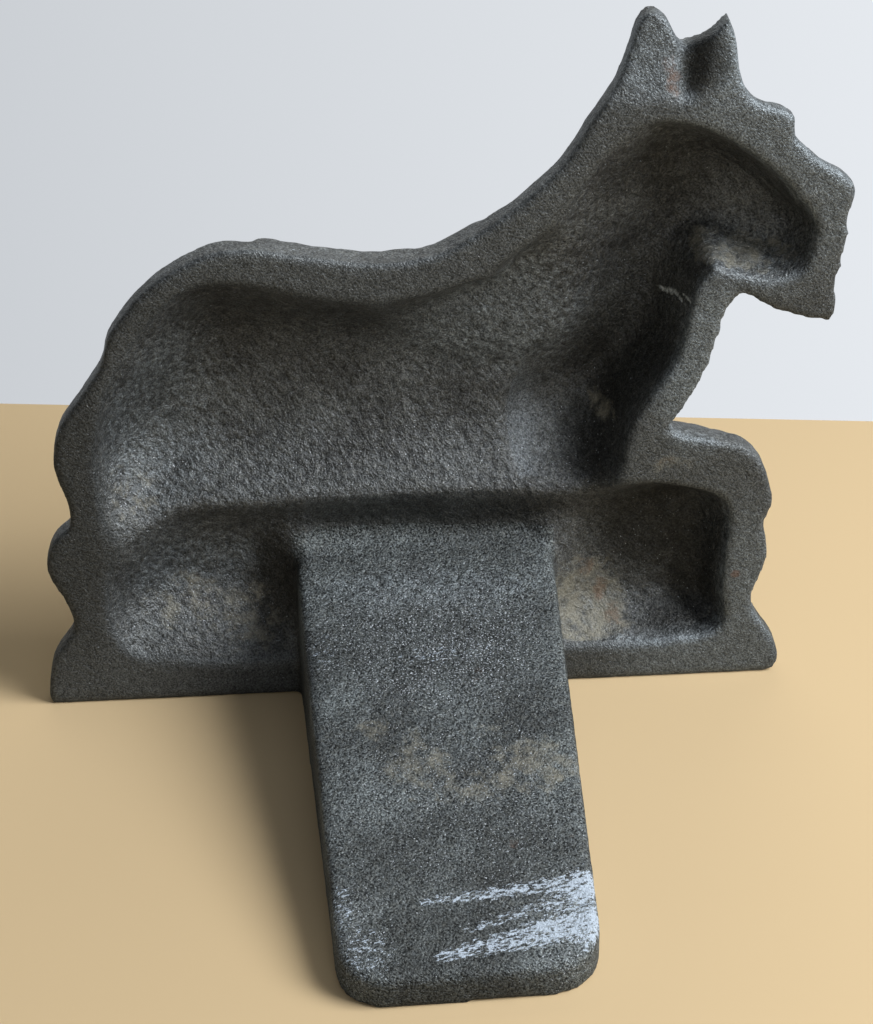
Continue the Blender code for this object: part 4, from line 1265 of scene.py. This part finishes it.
def streak_share(points):
    """Strength of the door streaks on the tongue, which widen towards their ends."""
    strength = np.zeros(len(points))
    for start, end, half, most in STREAKS:
        along = np.array(end) - np.array(start)
        offset = points[:, :2] - np.array(start)
        share = np.clip((offset @ along) / (along @ along), 0, 1)
        gap = np.linalg.norm(offset - share[:, None] * along, axis=1)
        width = half * (STREAK_THIN + (1 - STREAK_THIN) * share)
        strength = np.maximum(strength, most * np.clip(MARK_CORE - (gap / width) ** 2, 0, 1)
                              * (STREAK_FAINT + (1 - STREAK_FAINT) * share))
    return strength


def paint_marks(item):
    """Stores the strength of each kind of mark on the skin's points."""
    points = skin_points(item)
    normals = skin_normals(item)
    x, y, z = points.T
    beside = np.abs(x - TONGUE_ROOT_X) > 0.5 * TONGUE_ROOT_WIDTH + ROOT_CLEARANCE[0]
    beside = beside | (z > ROOT_TOP + ROOT_CLEARANCE[1])
    rim = fade(y, -RIM_BAND, RIM_FADE * RIM_BAND) * (y < RIM_OUTSIDE) * beside
    rim = np.maximum(rim, fade(z, EAR_CREASE, EAR_RIM_FADE) * (y > EAR_RIM_DEPTH))
    # The pocket's mask is the lit left slope of the chest pocket: it carries a painted highlight
    # there, and a finer grain.
    pocket_lit_band = mound(points[:, [0, 2]], *CHEST_POCKET, 1.0) * (z > POCKET_FOOT)
    pocket_lit_band = ease(pocket_lit_band / POCKET_EDGE) * (normals[:, 1] > 0)
    pocket_lit_band = pocket_lit_band * fade(x, *POCKET_SIDE) * fade(-z, *POCKET_TOP)
    store(item, "pocket_lit_band", pocket_lit_band)
    store(item, "rim", rim)
    for kind, spots in MARKS.items():
        strength = np.zeros(len(points))
        for centre, half, most in spots:
            reach = (((points - np.array(centre)) / np.array(half)) ** 2).sum(axis=1)
            reach = reach + (RIM_REPELS * rim if centre[1] < DEEP_MARK else 0)
            strength = np.maximum(strength, most * np.clip(MARK_CORE - reach, 0, 1))
        if kind in ("dust", "rust", "scratch"):
            strength = strength * (normals[:, 1] > TURNED_AWAY)
        if kind == "scuff" and item is wedge:
            streaks = streak_share(points) * (normals[:, 2] > TURNED_UP)
            strength = np.maximum(strength, streaks)
        store(item, kind, strength)
        print(item.name, kind, round(float(strength.mean()), 3), "on average")


for piece in (dog, wedge):
    paint_marks(piece)

# %% [markdown]
# Each piece gets its iron. The root of the tongue stands inside the hollow and belongs to the
# dog's solid, but its faces wear the tongue's iron, painted glitter and all, so that the tongue's
# look runs on past the cut.

# %% Give each piece its iron
ROOT_REACH = 2.6
ROOT_BESIDE = 0.5


def root_faces(item):
    """1 for the faces on the tongue's root, 0 elsewhere."""
    x, y, z = ((rows(item.data.polygons, "center") - PLACE) / MM).T
    within = np.abs(x - TONGUE_ROOT_X) < TONGUE_ROOT_WIDTH / 2 + ROOT_BESIDE
    on_top = np.abs(z - tongue_top(y)) < ROOT_REACH
    return (within & on_top & (y > -TONGUE_SINK)).astype(np.int32)


for piece, irons in ((dog, (figure_iron, tongue_iron)), (wedge, (tongue_iron,))):
    piece.data.materials.clear()
    for iron in irons:
        piece.data.materials.append(iron)
dog.data.polygons.foreach_set("material_index", root_faces(dog))
print("root faces", int(root_faces(dog).sum()))

# %% [markdown]
# Each piece rides the frame's one body and takes the place of one solid of the CAD model.

# %% Tie the pieces to the frame
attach(dog, "root")
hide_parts("dog_shell")
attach(wedge, "root")
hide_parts("wedge_tongue")
print("tied", dog.name, "and", wedge.name)

# %% [markdown]
# ## Floor, light and camera
#
# The floor is the stage: a pale board whose far edge shows behind the casting, with a pale sky
# beyond it. It shows the camera a warmer colour than it throws on the iron. The sky is made of
# nodes and not of a wall, so that nothing hides the casting when it is seen from the front.

# %% Floor and sky
FLOOR_ROUGHNESS = 0.9
SKY_STRENGTH = 0.08
WINDOW_SIDE = (0.15, -0.25)
FAR_SIDE = (0.1, -0.3)
MIRRORED_MOST = 0.7
FAR = 3000.0
EDGE_Y = -103.0
EDGE_TURN = -0.12


def floor_material(name, colour, bounce):
    """A matt surface of one colour for the camera, and of another for the light it throws."""
    material = bpy.data.materials.new(name)
    material.use_nodes = True
    tree = material.node_tree
    shader = tree.nodes["Principled BSDF"].inputs
    shader["Roughness"].default_value = FLOOR_ROUGHNESS
    seen = add(tree, "ShaderNodeLightPath", out="Is Camera Ray")
    mixed = add(tree, MIX, {0: seen, 6: linear(bounce), 7: linear(colour)}, 2, data_type="RGBA")
    tree.links.new(mixed, shader["Base Color"])
    return material


def sky_world(name):
    """A sky that is pale for the camera, and brighter on the window's side.

    Rays mirrored towards its far side see it too. As a light on the object it stays dim.
    """
    world = bpy.data.worlds.new(name)
    world.use_nodes = True
    tree = world.node_tree
    aim = add(tree, "ShaderNodeTexCoord", out="Generated")
    aim = add(tree, "ShaderNodeSeparateXYZ", {0: aim}, None).outputs
    side = add(tree, RANGE, {"Value": aim["X"], "From Min": WINDOW_SIDE[0],
               "From Max": WINDOW_SIDE[1]})
    far_side = add(tree, RANGE, {"Value": aim["Y"], "From Min": FAR_SIDE[0],
                   "From Max": FAR_SIDE[1], "To Max": MIRRORED_MOST})
    backdrop = add(tree, MIX, {0: side, 6: linear("C7CBD0"), 7: linear("E6EAEF")}, 2,
                   data_type="RGBA")
    ray = add(tree, "ShaderNodeLightPath", out=None).outputs
    mirrored = add(tree, MATH, {0: ray["Is Glossy Ray"], 1: ray["Is Transmission Ray"]},
                   operation="MAXIMUM")
    reflected = add(tree, MATH, {0: mirrored, 1: far_side}, operation="MULTIPLY")
    seen = add(tree, MATH, {0: ray["Is Camera Ray"], 1: reflected}, operation="MAXIMUM")
    colour = add(tree, MIX, {0: seen, 6: linear("DADFE4"), 7: backdrop}, 2, data_type="RGBA")
    strength = add(tree, RANGE, {"Value": seen, "To Min": SKY_STRENGTH, "To Max": 1.0})
    sky = tree.nodes["Background"].inputs
    tree.links.new(colour, sky["Color"])
    tree.links.new(strength, sky["Strength"])
    return world


corners = [(-FAR, EDGE_Y + EDGE_TURN * -FAR, 0), (-FAR, FAR, 0), (FAR, FAR, 0),
           (FAR, EDGE_Y + EDGE_TURN * FAR, 0)]
floor = mesh_object("floor", placed(corners), [(0, 1, 2, 3)])
floor.data.materials.append(floor_material("pale_board", "EDCFA0", "A6967A"))
bpy.context.scene.world = sky_world("studio")
print("floor edge at y =", round(EDGE_Y), "mm")

# %% [markdown]
# One window lights the hollows from the dog's head side. The others are the dim room behind the
# viewer, the far wall that lights the front, and a little of the ceiling.

# %% Light
LIGHT_DISTANCE = 0.7
LIGHT_TARGET = Vector((0, -0.02, 0.05))
# A light's azimuth and elevation, size, watts and colour.
LIGHTS = {
    "window": ((70, 42), (0.36, 0.46), 5.9, "F6FAFF"),
    "room": ((0, 14), (0.4, 0.3), 0.45, "F6FAFF"),
    "far_wall": ((180, 40), (0.6, 0.5), 0.8, "F4F2E8"),
    "ceiling": ((0, 88), (0.4, 0.4), 0.3, "D6E6FF"),
}


def direction(azimuth, elevation):
    """The way to a place, in degrees; azimuth 0 is behind the dog, 90 the head's side."""
    turn = math.radians(azimuth)
    rise = math.radians(elevation)
    return np.array([-math.sin(turn) * math.cos(rise), math.cos(turn) * math.cos(rise),
                     math.sin(rise)])


for name, (aim, size, power, colour) in LIGHTS.items():
    data = bpy.data.lights.new(name, "AREA")
    data.shape = "RECTANGLE"
    data.size, data.size_y = size
    data.energy = power
    data.color = linear(colour)[:3]
    lamp = new_object(name, data)
    lamp.location = Vector(direction(*aim)) * LIGHT_DISTANCE + LIGHT_TARGET
    lamp.rotation_euler = (LIGHT_TARGET - lamp.location).to_track_quat("-Z", "Y").to_euler()
    print(name, power, "W")

# %% [markdown]
# The camera stands where the photograph was taken: its place was solved from the flat back and
# the floor.

# %% Camera at the photograph's angle
CAMERA_DISTANCE = 450.0
CAMERA_AZIMUTH = -4.5
CAMERA_ELEVATION = 32.0
CAMERA_TARGET = (0.0, 0.0, 38.2)
LENS_MM = 89.3
NEAREST = 0.01
toward = direction(CAMERA_AZIMUTH, CAMERA_ELEVATION)
camera = new_object("camera", bpy.data.cameras.new("camera"))
camera.location = placed(np.array(CAMERA_TARGET) + CAMERA_DISTANCE * toward)
camera.rotation_euler = Vector(-toward).to_track_quat("-Z", "Y").to_euler()
camera.data.lens = LENS_MM
camera.data.clip_start = NEAREST
bpy.context.scene.camera = camera
bpy.context.scene.view_settings.view_transform = "Standard"
print("camera at", [round(value, 3) for value in camera.location])
